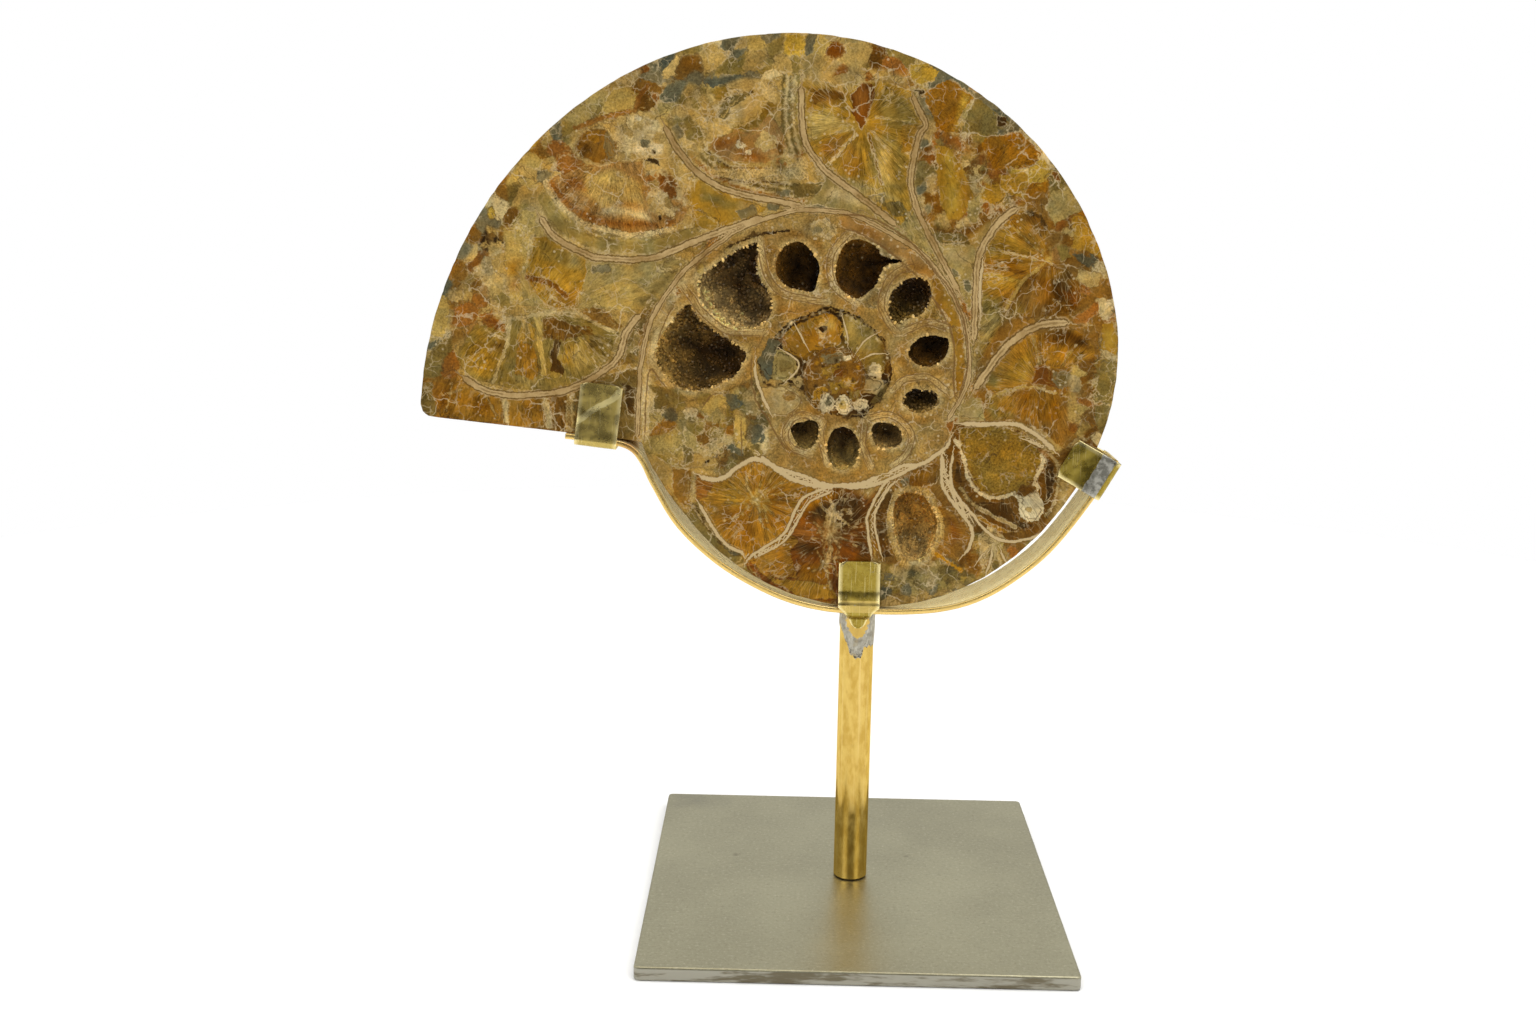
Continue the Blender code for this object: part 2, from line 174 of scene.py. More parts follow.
class Finish(NodeTree):
    """A piece's material, built up in coats. place is the piece's own coordinates, in metres."""

    def __init__(self, name, colour):
        self.material = bpy.data.materials.new(name)
        self.material.use_nodes = True
        super().__init__(self.material.node_tree)
        self.place = self.add("ShaderNodeTexCoord", out="Object")
        self.colour = colour

    def coat(self, share, colour, blend="MIX"):
        """Mixes this share of a colour into the finish's colour so far."""
        inputs = {0: share, 6: self.colour, 7: colour}
        self.colour = self.add("ShaderNodeMix", inputs, 2, data_type="RGBA", blend_type=blend)

    def noise(self, scale, detail=3, roughness=0.55, at=None):
        """Soft random values, about 0.3 to 0.7. scale is patches per metre."""
        inputs = {"Vector": at or self.place, "Scale": scale, "Detail": detail, "Roughness": roughness}
        return self.add("ShaderNodeTexNoise", inputs)

    def patch(self, scale, detail, roughness, start, end, low=0.0, high=1.0):
        """low where the noise is under start, high where it is over end."""
        return self.fade(self.noise(scale, detail, roughness), start, end, low, high)

    def cells(self, scale, feature="DISTANCE_TO_EDGE", at=None, out="Distance"):
        """Distances between points strewn at random. scale is points per metre."""
        inputs = {"Vector": at or self.place, "Scale": scale}
        return self.add("ShaderNodeTexVoronoi", inputs, out, feature=feature)

    def stretched(self, *scale, turn=(0, 0, 0)):
        return self.add("ShaderNodeMapping", {"Vector": self.place, "Scale": scale, "Rotation": turn})

    def vector(self, operation, *values, out=0):
        return self.add("ShaderNodeVectorMath", dict(enumerate(values)), out, operation=operation)

    def warped(self, scale, reach):
        """The place pushed about at random by up to half of reach, in patches of this scale."""
        inputs = {"Vector": self.place, "Scale": scale, "Detail": 3.0}
        pushed = self.add("ShaderNodeTexNoise", inputs, "Color")
        centred = self.vector("SUBTRACT", pushed, (0.5, 0.5, 0.5))
        return self.vector("ADD", self.place, self.vector("MULTIPLY", centred, (reach, reach, reach)))

    def spot(self, centre, radius, soft, at=None):
        """1 inside a ball round centre, 0 outside it."""
        away = self.vector("DISTANCE", at or self.place, centre, out="Value")
        return self.fade(away, radius - soft, radius + soft, 1.0, 0.0)

    def marks(self, name, out="Fac"):
        """What the piece's points hold under this name."""
        return self.add("ShaderNodeAttribute", out=out, attribute_name=name)

    def bump(self, height, distance, strength):
        return self.add("ShaderNodeBump", {"Height": height, "Distance": distance, "Strength": strength})

    def finish(self, **values):
        """Sets the surface's inputs; an underscore in a name stands for a space."""
        for name, value in {"Base_Color": self.colour, **values}.items():
            self.feed(self.tree.nodes["Principled BSDF"].inputs[name.replace("_", " ")], value)
        return self.material


def mesh_of(name, made):
    """A new mesh from a bmesh, which is freed."""
    mesh = bpy.data.meshes.new(name)
    made.to_mesh(mesh)
    made.free()
    return mesh


def add_table():
    """A round white table top under the plate."""
    made = bmesh.new()
    bmesh.ops.create_circle(made, cap_ends=True, radius=TABLE_RADIUS, segments=96)
    mesh = mesh_of("table_top", made)
    white = Finish("table_white", (0.9, 0.9, 0.89))
    mesh.materials.append(white.finish(Roughness=0.9, Specular_IOR_Level=0.1))
    table = add_object("table_top", mesh)
    table.location.z = -0.1 * MM


add_camera()
add_room()
add_table()
scene.view_settings.view_transform = "Standard"
add_panel("panel_above", (0.1, -0.05, 1.15), (0, 0, 0.1), 1.0, 1.0, 6.5)
add_panel("panel_front_left", (-0.75, -0.9, 0.95), (0, 0, 0.14), 0.7, 0.7, 4.6)
add_panel("panel_front_right", (0.75, -0.85, 0.85), (0, 0, 0.14), 0.6, 0.7, 3.7)


# ---------------------------------------------------------------- base plate
# A square of 4 mm steel plate with eased corners, its top rubbed with fine emery and left bare.
# Finger marks and faint stains show on it, and its sawn edges are darker.

def make_steel():
    steel = Finish("rubbed_steel", (0.34, 0.315, 0.205))
    lines = steel.noise(4.0, 4, 0.6, at=steel.stretched(60, 900, 900))
    speckle = steel.noise(1000, 4, 0.85)
    clouds = steel.noise(28, 4, 0.6)
    steel.coat(steel.fade(clouds, 0.35, 0.7), (0.40, 0.375, 0.25))
    steel.coat(steel.fade(lines, 0.3, 0.7, 0, 0.35), (0.48, 0.45, 0.31))
    steel.coat(steel.fade(speckle, 0.54, 0.66, 0, 0.5), (0.62, 0.58, 0.42))
    steel.coat(steel.fade(speckle, 0.34, 0.46, 0.45, 0), (0.2, 0.185, 0.11))
    smudge = steel.spot((-24 * MM, 55 * MM, PLATE_TOP), 5 * MM, 7 * MM, at=steel.warped(90, 0.02))
    steel.coat(smudge * 0.5, (0.2, 0.19, 0.15))
    for across, back, size in ((44.5, 13.5, 0.7), (-9, 12, 0.8)):  # two small dents
        centre, ragged = (across * MM, back * MM, PLATE_TOP), steel.warped(500, 0.003)
        steel.coat(steel.spot(centre, size * MM, size * MM, at=ragged) * 0.45, (0.1, 0.085, 0.05))
    _, _, height = steel.parts(steel.place)
    side = steel.fade(height, PLATE_TOP - 0.55 * MM, PLATE_TOP - 0.35 * MM, 1.0, 0.0)
    stain = steel.fade(steel.noise(60, 4, 0.65, at=steel.stretched(1, 1, 6)), 0.46, 0.6)
    steel.coat(side, (0.33, 0.315, 0.255))
    steel.coat(side * stain, (0.15, 0.13, 0.085))
    return steel.finish(
        Metallic=1.0,
        Roughness=steel.fade(lines + clouds * 0.5, 0.5, 1.0, 0.3, 0.44),
        Normal=steel.bump(lines + speckle * 0.7, 0.02 * MM, 0.35),
    )


def refinish(node, material):
    """Gives a node of the frame a new finish in place of its plain one."""
    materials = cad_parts[node].data.materials
    if not materials:
        materials.append(material)
    for i in range(len(materials)):
        materials[i] = material


refinish("base_plate", make_steel())


# ---------------------------------------------------------------- base screw
# A countersunk socket screw of zinc-plated steel, run up through the plate into the foot of the
# post. Its head is sunk just inside the plate's underside.

def make_screw_steel():
    zinc = Finish("screw_zinc", (0.36, 0.36, 0.35))
    clouds = zinc.noise(900, 4, 0.6)
    zinc.coat(zinc.fade(clouds, 0.35, 0.65), (0.52, 0.52, 0.5))
    zinc.coat(zinc.patch(2400, 3, 0.7, 0.5, 0.72, 0, 0.5), (0.18, 0.16, 0.13))
    return zinc.finish(
        Metallic=1.0,
        Roughness=zinc.fade(clouds, 0.3, 0.7, 0.28, 0.45),
        Normal=zinc.bump(clouds, 0.03 * MM, 0.4),
    )


refinish("base_screw", make_screw_steel())


# ---------------------------------------------------------------- post
# A 10 mm brass rod, turned square at the foot and polished by hand, so that it is bright
# with faint long ripples and a few pits.

POST_RADIUS = 5 * MM
POST_TURN_STEPS = 96
POST_CHAMFER = 0.25 * MM


def finish_object(name, made, material, smooth_angle, replaces=()):
    """Makes a bmesh into a piece that rides on the object, and frees it."""
    bmesh.ops.recalc_face_normals(made, faces=made.faces)
    mesh = mesh_of(name, made)
    mesh.shade_smooth()
    mesh.set_sharp_from_angle(angle=math.radians(smooth_angle))
    mesh.materials.append(material)
    piece = add_object(name, mesh)
    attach(piece, "root")
    if replaces:
        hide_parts(*replaces)


def join_rings(made, lower, upper):
    """Faces between two closed rings of vertices, either of which may be a single point."""
    count = max(len(lower), len(upper))
    for i in range(count):
        k = (i + 1) % count
        corners = [lower[i % len(lower)], lower[k % len(lower)], upper[k % len(upper)], upper[i % len(upper)]]
        made.faces.new(list(dict.fromkeys(corners)))


def make_polished_brass():
    brass = Finish("polished_brass", (0.50, 0.32, 0.065))
    ripple = brass.noise(70, 3, 0.5, at=brass.stretched(1.6, 1.6, 0.25))
    mottle = brass.noise(420, 4, 0.6, at=brass.stretched(1, 1, 0.45))
    streaks = brass.noise(900, 2, 0.6, at=brass.stretched(1, 1, 0.03))
    brass.coat(brass.fade(mottle, 0.34, 0.66), (0.66, 0.46, 0.125))
    brass.coat(brass.fade(streaks, 0.5, 0.72, 0, 0.3), (0.86, 0.67, 0.30))
    brass.coat(brass.patch(150, 5, 0.7, 0.56, 0.7, 0, 0.35), (0.38, 0.25, 0.06))
    pits = brass.fade(brass.cells(420, "F1"), 0.05, 0.09, 1, 0)
    brass.coat(pits * brass.patch(60, 1, 0.55, 0.52, 0.6), (0.12, 0.06, 0.015))
    return brass.finish(
        Metallic=1.0,
        Specular_Tint=(1.0, 0.86, 0.5),
        Roughness=brass.fade(mottle, 0.3, 0.7, 0.11, 0.24),
        Normal=brass.bump(ripple + mottle * 0.12, 0.12 * MM, 0.5),
    )


def make_post():
    foot, top = post_low.z, post_high.z
    bottom, stages = foot + POST_CHAMFER, 24
    profile = [(0, foot), (POST_RADIUS - POST_CHAMFER, foot)]
    profile += [(POST_RADIUS, bottom + (top - bottom) * i / stages) for i in range(stages + 1)] + [(0, top)]
    made = bmesh.new()
    rings = []
    for radius, height in profile:
        turns = [2 * math.pi * i / POST_TURN_STEPS for i in range(POST_TURN_STEPS if radius else 1)]
        ring = [(POST_X + radius * math.cos(t), radius * math.sin(t), height) for t in turns]
        rings.append([made.verts.new(place) for place in ring])
    for lower, upper in zip(rings, rings[1:]):
        join_rings(made, lower, upper)
    finish_object("brass_post", made, make_polished_brass(), 40, ["post"])


make_post()


# ---------------------------------------------------------------- silver solder
# Silver solder that ran down the post's neck below the clips when they were fixed to it.
# It froze as a thin grey skin with a ragged lower edge.

SOLDER_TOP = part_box("solder_collar")[1].z
SOLDER_LOWER_EDGE = [  # (turn from the front in degrees, anticlockwise from above, height above the plate)
    (-180, 76.5), (-140, 74.6), (-100, 77.8), (-75, 79.6), (-46, 75.9), (-29, 72.9), (-21, 71), (-8, 70.4),
    (10, 70), (18, 71.5), (23, 73.3), (40, 73.6), (75, 73.2), (100, 75.5), (140, 73.8), (180, 76.5),
]
BARE_BAND = [  # (height above the plate, half its width) of the brass left bare at the front
    (75.5, -0.8), (77.2, 1.6), (79, 2.7), (81, 3.2), (83, 3.7), (84, 4.4),
]
SOLDER_STEPS, SOLDER_STAGES = 120, 24  # round the post, and up it
SOLDER_BITE = 0.2 * MM  # how far its ends reach into the brass
NEVER_BARE = -9


def make_alloy():
    alloy = Finish("silver_solder", (0.28, 0.26, 0.205))
    clouds = alloy.noise(500, 5, 0.65)
    alloy.coat(alloy.fade(clouds, 0.36, 0.64), (0.48, 0.45, 0.37))
    alloy.coat(alloy.patch(260, 3, 0.6, 0.55, 0.68, 0, 0.5), (0.4, 0.3, 0.14))
    streaks = alloy.noise(900, 3, 0.6, at=alloy.stretched(1, 1, 0.25))
    alloy.coat(alloy.fade(streaks, 0.54, 0.66, 0, 0.5), (0.78, 0.75, 0.64))
    dots = alloy.patch(1500, 3, 0.7, 0.5, 0.62)
    alloy.coat(alloy.fade(alloy.marks("rim"), 0.35, 0.95, 0.15, 1) * dots, (0.06, 0.05, 0.03))
    ragged = alloy.marks("bare") + alloy.patch(700, 3, 0.6, 0.3, 0.7, -0.5, 0.5)
    alloy.coat(alloy.fade(ragged, -0.15, 0.15), (0.70, 0.47, 0.12))
    return alloy.finish(
        Metallic=0.9,
        Specular_Tint=(1.0, 0.94, 0.8),
        Roughness=alloy.fade(clouds, 0.3, 0.7, 0.3, 0.5),
        Normal=alloy.bump(clouds, 0.12 * MM, 0.6),
    )


def make_solder():
    made = bmesh.new()
    rim_layer = made.verts.layers.float.new("rim")
    bare_layer = made.verts.layers.float.new("bare")
    turns, heights = zip(*SOLDER_LOWER_EDGE)
    columns = []
    for i in range(SOLDER_STEPS):
        turn = -180 + 360 * i / SOLDER_STEPS
        ragged = 0.35 * math.sin(turn * 0.31) + 0.2 * math.sin(turn * 0.83 + 1)
        low = PLATE_TOP + (float(np.interp(turn, turns, heights)) + ragged) * MM
        way = math.radians(turn)
        column = []
        for k in range(SOLDER_STAGES + 1):
            share = k / SOLDER_STAGES
            lump = 0.06 * math.sin(turn * 0.12 + 5 * share) + 0.04 * math.sin(turn * 0.27 - 9 * share)
            swell = 0.24 * min(1, 4 * share) + lump * min(1, 3 * share)
            radius = POST_RADIUS + (0.01 + max(0.0, swell)) * MM
            column.append((radius, low + (SOLDER_TOP - low) * share, 1 - share))
        column.append((POST_RADIUS - SOLDER_BITE, SOLDER_TOP, 0))
        column.append((POST_RADIUS - SOLDER_BITE, low, 1))
        verts = []
        for radius, height, edge in column:
            vert = made.verts.new((POST_X + radius * math.sin(way), -radius * math.cos(way), height))
            vert[rim_layer] = edge ** 3
            bare = float(np.interp((height - PLATE_TOP) / MM, *zip(*BARE_BAND)))
            in_front = abs(turn) < 90
            vert[bare_layer] = bare - abs(radius * math.sin(way) / MM) if in_front else NEVER_BARE
            verts.append(vert)
        columns.append(verts)
    for column, following in zip(columns, columns[1:] + columns[:1]):
        join_rings(made, column, following)
    finish_object("solder_skin", made, make_alloy(), 50, ["solder_collar"])


make_solder()


# ---------------------------------------------------------------- cradle
# A flat brass bar, 15 by 1.5 mm, set on edge and bent cold round the fossil's lower rim. Its faces
# are satin and its edges are filed and polished.

CRADLE_DEPTH = 15 * MM
CRADLE_THICKNESS = 1.5 * MM
CRADLE_EASED_EDGE = 0.28 * MM
CRADLE_STEPS = 10  # between two rows of the route
CRADLE_ROUTE = [  # middle of the bar's thickness
    (-84.3, 134.8), (-76.5, 133.9), (-69.5, 133.0), (-65.2, 131.2), (-62.2, 127.3), (-59.3, 121.3),
    (-52.9, 110.5), (-44.4, 101.8), (-34.6, 94.8), (-22.0, 88.7), (-10.0, 85.7), (2.0, 85.1), (14.0, 85.2),
    (24.8, 86.4), (34.7, 89.6), (44.5, 95.7), (54.4, 104.8), (64.2, 118.4), (71.4, 130.9),
]


def smooth_value(table, at):
    """A cubic through the (position, value) rows of table, with the slope of each row's neighbours."""
    def slope(i):
        before, after = max(i - 1, 0), min(i + 1, len(table) - 1)
        return (table[after][1] - table[before][1]) / (table[after][0] - table[before][0])

    span = 0
    while span < len(table) - 2 and at > table[span + 1][0]:
        span += 1
    (x0, y0), (x1, y1) = table[span], table[span + 1]
    width = x1 - x0
    t = (at - x0) / width
    bend = width * t * (1 - t) * ((1 - t) * slope(span) - t * slope(span + 1))
    return y0 * (1 + 2 * t) * (1 - t) ** 2 + y1 * t * t * (3 - 2 * t) + bend


def on_route(station):
    """The point (x, z) of the bar's middle at this row of the route, counted from 0, in metres."""
    across, up = [smooth_value(list(enumerate(column)), station) for column in zip(*CRADLE_ROUTE)]
    return Vector((POST_X + across * MM, PLATE_TOP + up * MM))


def make_satin_brass():
    # The pale colour, on faces that are only partly metallic, is the brass's own colour made lighter as a
    # painted reflection of the white surroundings.
    brass = Finish("satin_brass", (0.92, 0.74, 0.34))
    mottle = brass.noise(300, 5, 0.6)
    rubbed = brass.noise(2200, 2, 0.6, at=brass.stretched(1, 0.05, 1))
    brass.coat(brass.fade(mottle, 0.34, 0.66), (0.99, 0.85, 0.46))
    _, back, _ = brass.parts(brass.place)
    brass.coat(brass.fade(rubbed, 0.5, 0.7, 0, 0.3), (1.0, 0.9, 0.56))
    edge = brass.fade(back, -7.35 * MM, -7.15 * MM, 1, 0)
    brass.coat(edge, (0.76, 0.53, 0.17))
    # Painted highlight: a bright line along the eased front corner, then a dark line painted beside it as a
    # reflection of the dim room.
    painted_highlight = brass.fade(back, -7.4 * MM, -7.3 * MM) * brass.fade(back, -7.2 * MM, -7.1 * MM, 1, 0)
    brass.coat(painted_highlight * 0.8, (1.0, 0.88, 0.5))
    painted_dark_line = brass.fade(back, -7.2 * MM, -7.1 * MM) * brass.fade(back, -6.7 * MM, -6.4 * MM, 1, 0)
    brass.coat(painted_dark_line * 0.6, (0.36, 0.24, 0.06))
    scorched = (POST_X - 66 * MM, -7.5 * MM, PLATE_TOP + 132 * MM)
    heat = brass.spot(scorched, 2.6 * MM, 2 * MM, brass.warped(300, 0.003))
    brass.coat(heat * 0.6, (0.5, 0.22, 0.06))
    brass.coat(brass.patch(120, 5, 0.7, 0.55, 0.72, 0, 0.25), (0.60, 0.46, 0.2))
    return brass.finish(
        Metallic=edge * 0.45 + 0.55,
        Specular_Tint=(1.0, 0.86, 0.5),
        Roughness=brass.fade(mottle, 0.3, 0.7, 0.22, 0.34),
        Normal=brass.bump(mottle + rubbed * 0.1, 0.01 * MM, 0.4),
    )


def geometry_tree(name, **sockets):
    """An empty tree of geometry nodes, with its named inputs in a dict."""
    nodes = NodeTree(bpy.data.node_groups.new(name, "GeometryNodeTree"))
    for socket, kind in dict(Geometry="Geometry", **sockets).items():
        label = socket.replace("_", " ")
        nodes.tree.interface.new_socket(label, in_out="INPUT", socket_type="NodeSocket" + kind)
    nodes.tree.interface.new_socket("Geometry", in_out="OUTPUT", socket_type="NodeSocketGeometry")
    start = nodes.add("NodeGroupInput").socket.node
    return nodes, {socket.name: Value(nodes, socket) for socket in start.outputs}


def end_tree(nodes, geometry, material):
    """Makes instances real, coats everything with the material and gives back the finished tree."""
    real = nodes.add("GeometryNodeRealizeInstances", {0: geometry})
    coated = nodes.add("GeometryNodeSetMaterial", {"Geometry": real, "Material": material})
    nodes.add("NodeGroupOutput", {0: coated})
    return nodes.tree


def bar_tree(material):
    """Sweeps a flat bar with eased edges along a line."""
    nodes, given = geometry_tree("bent_bar", Depth="Float", Thickness="Float", Eased_Edge="Float")
    line = nodes.add("GeometryNodeMeshToCurve", {0: given["Geometry"]})
    upright = nodes.add("GeometryNodeSetCurveNormal", {"Curve": line}, mode="Z_UP")
    sizes = {"Width": given["Depth"], "Height": given["Thickness"]}
    section = nodes.add("GeometryNodeCurvePrimitiveQuadrilateral", sizes)
    corners = {"Curve": section, "Radius": given["Eased Edge"], "Count": 3}
    eased = nodes.add("GeometryNodeFilletCurve", corners, mode="POLY")
    bar = nodes.add("GeometryNodeCurveToMesh", {"Curve": upright, "Profile Curve": eased, "Fill Caps": True})
    return end_tree(nodes, bar, material)


def grown(name, mesh, tree, **values):
    """A plain new object: what the tree makes of the mesh, its inputs set by their socket's identifier."""
    source = add_object(name + "_source", mesh)
    modifier = source.modifiers.new(name, "NODES")
    modifier.node_group = tree
    for item in tree.interface.items_tree:
        if item.in_out == "INPUT" and item.name.replace(" ", "_") in values:
            modifier[item.identifier] = values[item.name.replace(" ", "_")]
    graph = bpy.context.evaluated_depsgraph_get()
    made = bpy.data.meshes.new_from_object(source.evaluated_get(graph))
    bpy.data.objects.remove(source)
    made.name = name
    return add_object(name, made)


def make_cradle():
    steps = CRADLE_STEPS * (len(CRADLE_ROUTE) - 1)
    places = [on_route(i / CRADLE_STEPS) for i in range(steps + 1)]
    line = bpy.data.meshes.new("cradle_line")
    line.from_pydata([(p.x, 0, p.y) for p in places], [(i, i + 1) for i in range(steps)], [])
    sizes = dict(Depth=CRADLE_DEPTH, Thickness=CRADLE_THICKNESS, Eased_Edge=CRADLE_EASED_EDGE)
    brass = make_satin_brass()
    bar = grown("bent_bar", line, bar_tree(brass), **sizes)
    made = bmesh.new()
    made.from_mesh(bar.data)
    bpy.data.objects.remove(bar)
    for vert in made.verts:  # the faint waver of a bar bent by hand
        vert.co.y += 0.05 * MM * math.sin(vert.co.x / (9 * MM))
    finish_object("brass_cradle", made, brass, 50, ["cradle"])


make_cradle()


# ---------------------------------------------------------------- clips
# Four brass straps, 12 by 1 mm, folded over the cradle's edges and soldered to it. Their tabs press
# on the stone. They are rubbed satin, and their edges, eased by a file, are painted brighter: clean brass and
# a painted highlight.

STRAP_THICKNESS = 1 * MM
STRAP_WIDTH = 12 * MM
STRAP_BEND_RADIUS = 1.6 * MM
STRAP_BEND_STEPS = 7
STRAP_EASED_EDGE = 0.22 * MM
STRAP_TIP_RADIUS = 2.2 * MM
STRAP_STATION_GAP = 0.7 * MM
FIT_GAP = 0.3 * MM
FACE_Y = -6 * MM
LEFT_CLIP_STATION = 1.12  # row of the cradle's route
RIGHT_CLIP_STATION = 17.55


def make_clip_brass():
    brass = Finish("clip_brass", (0.27, 0.19, 0.027))
    mottle = brass.noise(260, 4, 0.6)
    grain = brass.noise(1500, 3, 0.65)
    scratch = brass.noise(700, 2, 0.5, at=brass.stretched(3.5, 1, 0.12, turn=(0, 0.7, 0)))
    brass.coat(brass.fade(mottle, 0.36, 0.64), (0.42, 0.31, 0.055))
    brass.coat(brass.fade(grain, 0.5, 0.72, 0, 0.25), (0.60, 0.48, 0.16))
    brass.coat(brass.fade(scratch, 0.6, 0.7, 0, 0.5), (0.78, 0.66, 0.30))
    across, _, up = brass.parts(brass.place)

    # Where the centre clip folds over the cradle, a bright band is painted on as a highlight, and painted
    # shade darkens the strap just above it.
    low, high = PLATE_TOP + 84.9 * MM, PLATE_TOP + 88.3 * MM
    fold = brass.fade(up, low, low + 0.3 * MM) * brass.fade(up, high, high + 0.4 * MM, 1, 0)
    brass.coat(fold * 0.5, (0.80, 0.58, 0.19))
    painted_shade_above_fold = brass.fade(up, high, high + 5 * MM, 0.4, 0) * brass.fade(up, high, high + 0.4 * MM)
    brass.coat(painted_shade_above_fold, (0.15, 0.1, 0.02))
    # The edges' bright colour is partly clean filed brass and partly a painted highlight.
    brass.coat(brass.marks("edge") * 0.75, (0.95, 0.82, 0.42))

    # A painted reflection: the left clip's tab is painted lighter all over, with a bright stripe across it.
    slope = (147.5 - 140.5) / (79.5 - 68.5)
    rise = up - across * slope - (PLATE_TOP + (140.5 + 79.5 * slope) * MM - POST_X * slope)
    away = abs(rise + (brass.noise(160, 2) - 0.5) * (4 * MM))
    on_left = brass.fade(across, POST_X - 67 * MM, POST_X - 66 * MM, 1, 0)
    brass.coat(on_left * 0.3, (0.80, 0.62, 0.24))
    brass.coat(brass.fade(away, 0.8 * MM, 1.2 * MM, 0.85, 0) * on_left, (0.95, 0.80, 0.36))

    coated = brass.fade(brass.marks("solder") + (brass.noise(420, 3) - 0.5) * 2.2, 0.42, 0.58)
    brass.coat(coated, (0.24, 0.23, 0.19))
    brass.coat(coated * brass.patch(500, 4, 0.6, 0.4, 0.62), (0.52, 0.50, 0.43))
    brass.coat(coated * brass.patch(700, 3, 0.7, 0.56, 0.64, 0, 0.7), (0.08, 0.07, 0.05))
    return brass.finish(
        Metallic=1.0,
        Roughness=brass.fade(mottle + coated * 0.3, 0.3, 0.9, 0.22, 0.5),
        Normal=brass.bump(mottle + grain * 0.15 - scratch * 0.2, 0.1 * MM, 0.5),
    )


def bent_path(path):
    """The path's rows (u, y, width) with each corner turned through an arc, and rows close together."""
    rounded = [Vector(path[0])]
    for before, corner, after in zip(path, path[1:], path[2:]):
        here = Vector(corner)
        back, ahead = Vector(before) - here, Vector(after) - here
        reach = min(STRAP_BEND_RADIUS, 0.48 * back.length, 0.48 * ahead.length)
        start, end = here + back.normalized() * reach, here + ahead.normalized() * reach
        for k in range(STRAP_BEND_STEPS + 1):
            t = k / STRAP_BEND_STEPS
            rounded.append(start * (1 - t) ** 2 + here * 2 * t * (1 - t) + end * t ** 2)
    rounded.append(Vector(path[-1]))
    rows = rounded[:1]
    for before, after in zip(rounded, rounded[1:]):
        count = max(1, math.ceil((after - before).xy.length / STRAP_STATION_GAP))
        rows += [before.lerp(after, i / count) for i in range(1, count + 1)]
    return rows


def strap_section(width):
    """(across, through) round a strap's section, its four edges eased."""
    inner = max(width / 2 - STRAP_EASED_EDGE, 0.05 * MM)
    skin, core = STRAP_THICKNESS / 2, STRAP_THICKNESS / 2 - STRAP_EASED_EDGE
    half = [(-inner + 2 * inner * i / 10, -skin) for i in range(11)]
    for turn, middle in ((-60, -core), (-30, -core), (0, -core), (0, core), (30, core), (60, core)):
        way = math.radians(turn)
        half.append((inner + STRAP_EASED_EDGE * math.cos(way), middle + STRAP_EASED_EDGE * math.sin(way)))
    return half + [(-across, -through) for across, through in half]


def make_strap(name, node, seat, along, path, brass, rounded_end, phase, solder=(0, 0)):
    """A bent strap. seat is a point (x, z) on the cradle's outer side, along the cradle's direction there.
    path rows are (distance inward from the seat, y, width), the middle of the strap's thickness. Its first
    end has rounded corners, and its last too if rounded_end. Solder covers the front of it between these
    two distances inward."""
    inward = Vector((-along.y, along.x))
    rows = bent_path(path)
    made = bmesh.new()
    edge_layer = made.verts.layers.float.new("edge")
    solder_layer = made.verts.layers.float.new("solder")
    rings, run_length = [], 0.0
    tip_shares = [0.0, 0.04, 0.12, 0.26, 0.45, 0.7]
    for i, (u, y, width) in enumerate(rows):
        before, after = rows[max(i - 1, 0)], rows[min(i + 1, len(rows) - 1)]
        run_length += (rows[i] - before).xy.length
        run = (after - before).xy.normalized()
        places = [(u, y, width)]
        if i == 0:
            places = [tip_place(u, y, width, run, share) for share in tip_shares]
        elif i == len(rows) - 1 and rounded_end:
            places = [tip_place(u, y, width, -run, share) for share in reversed(tip_shares)]
        for u_here, y_here, width_here in places:
            ring = []
            for across, through in strap_section(width_here):
                wave = 0.035 * MM * math.sin(across * 520 + phase) * math.sin(run_length * 430 + phase)
                place = seat + inward * (u_here - (through + wave) * run.y) + along * across
                vert = made.verts.new((place.x, y_here + (through + wave) * run.x, place.y))
                vert[edge_layer] = float(abs(across) > width_here / 2 - 0.45 * MM)
                vert[solder_layer] = float(y_here < 0 and solder[0] < u_here < solder[1])
                ring.append(vert)
            rings.append(ring)
    for lower, upper in zip(rings, rings[1:]):
        join_rings(made, lower, upper)
    caps = [made.faces.new(rings[0]), made.faces.new(rings[-1])]
    bmesh.ops.triangulate(made, faces=caps)
    finish_object(name, made, brass, 45, [node])


def tip_place(u, y, width, run, share):
    """A row near a rounded tip: share 0 is the very end, 1 is a corner radius in from it."""
    inset = STRAP_TIP_RADIUS * (1 - math.sqrt(max(0.0, 1 - (1 - share) ** 2)))
    reach = STRAP_TIP_RADIUS * share
    return u + run.x * reach, y + run.y * reach, width - 2 * inset


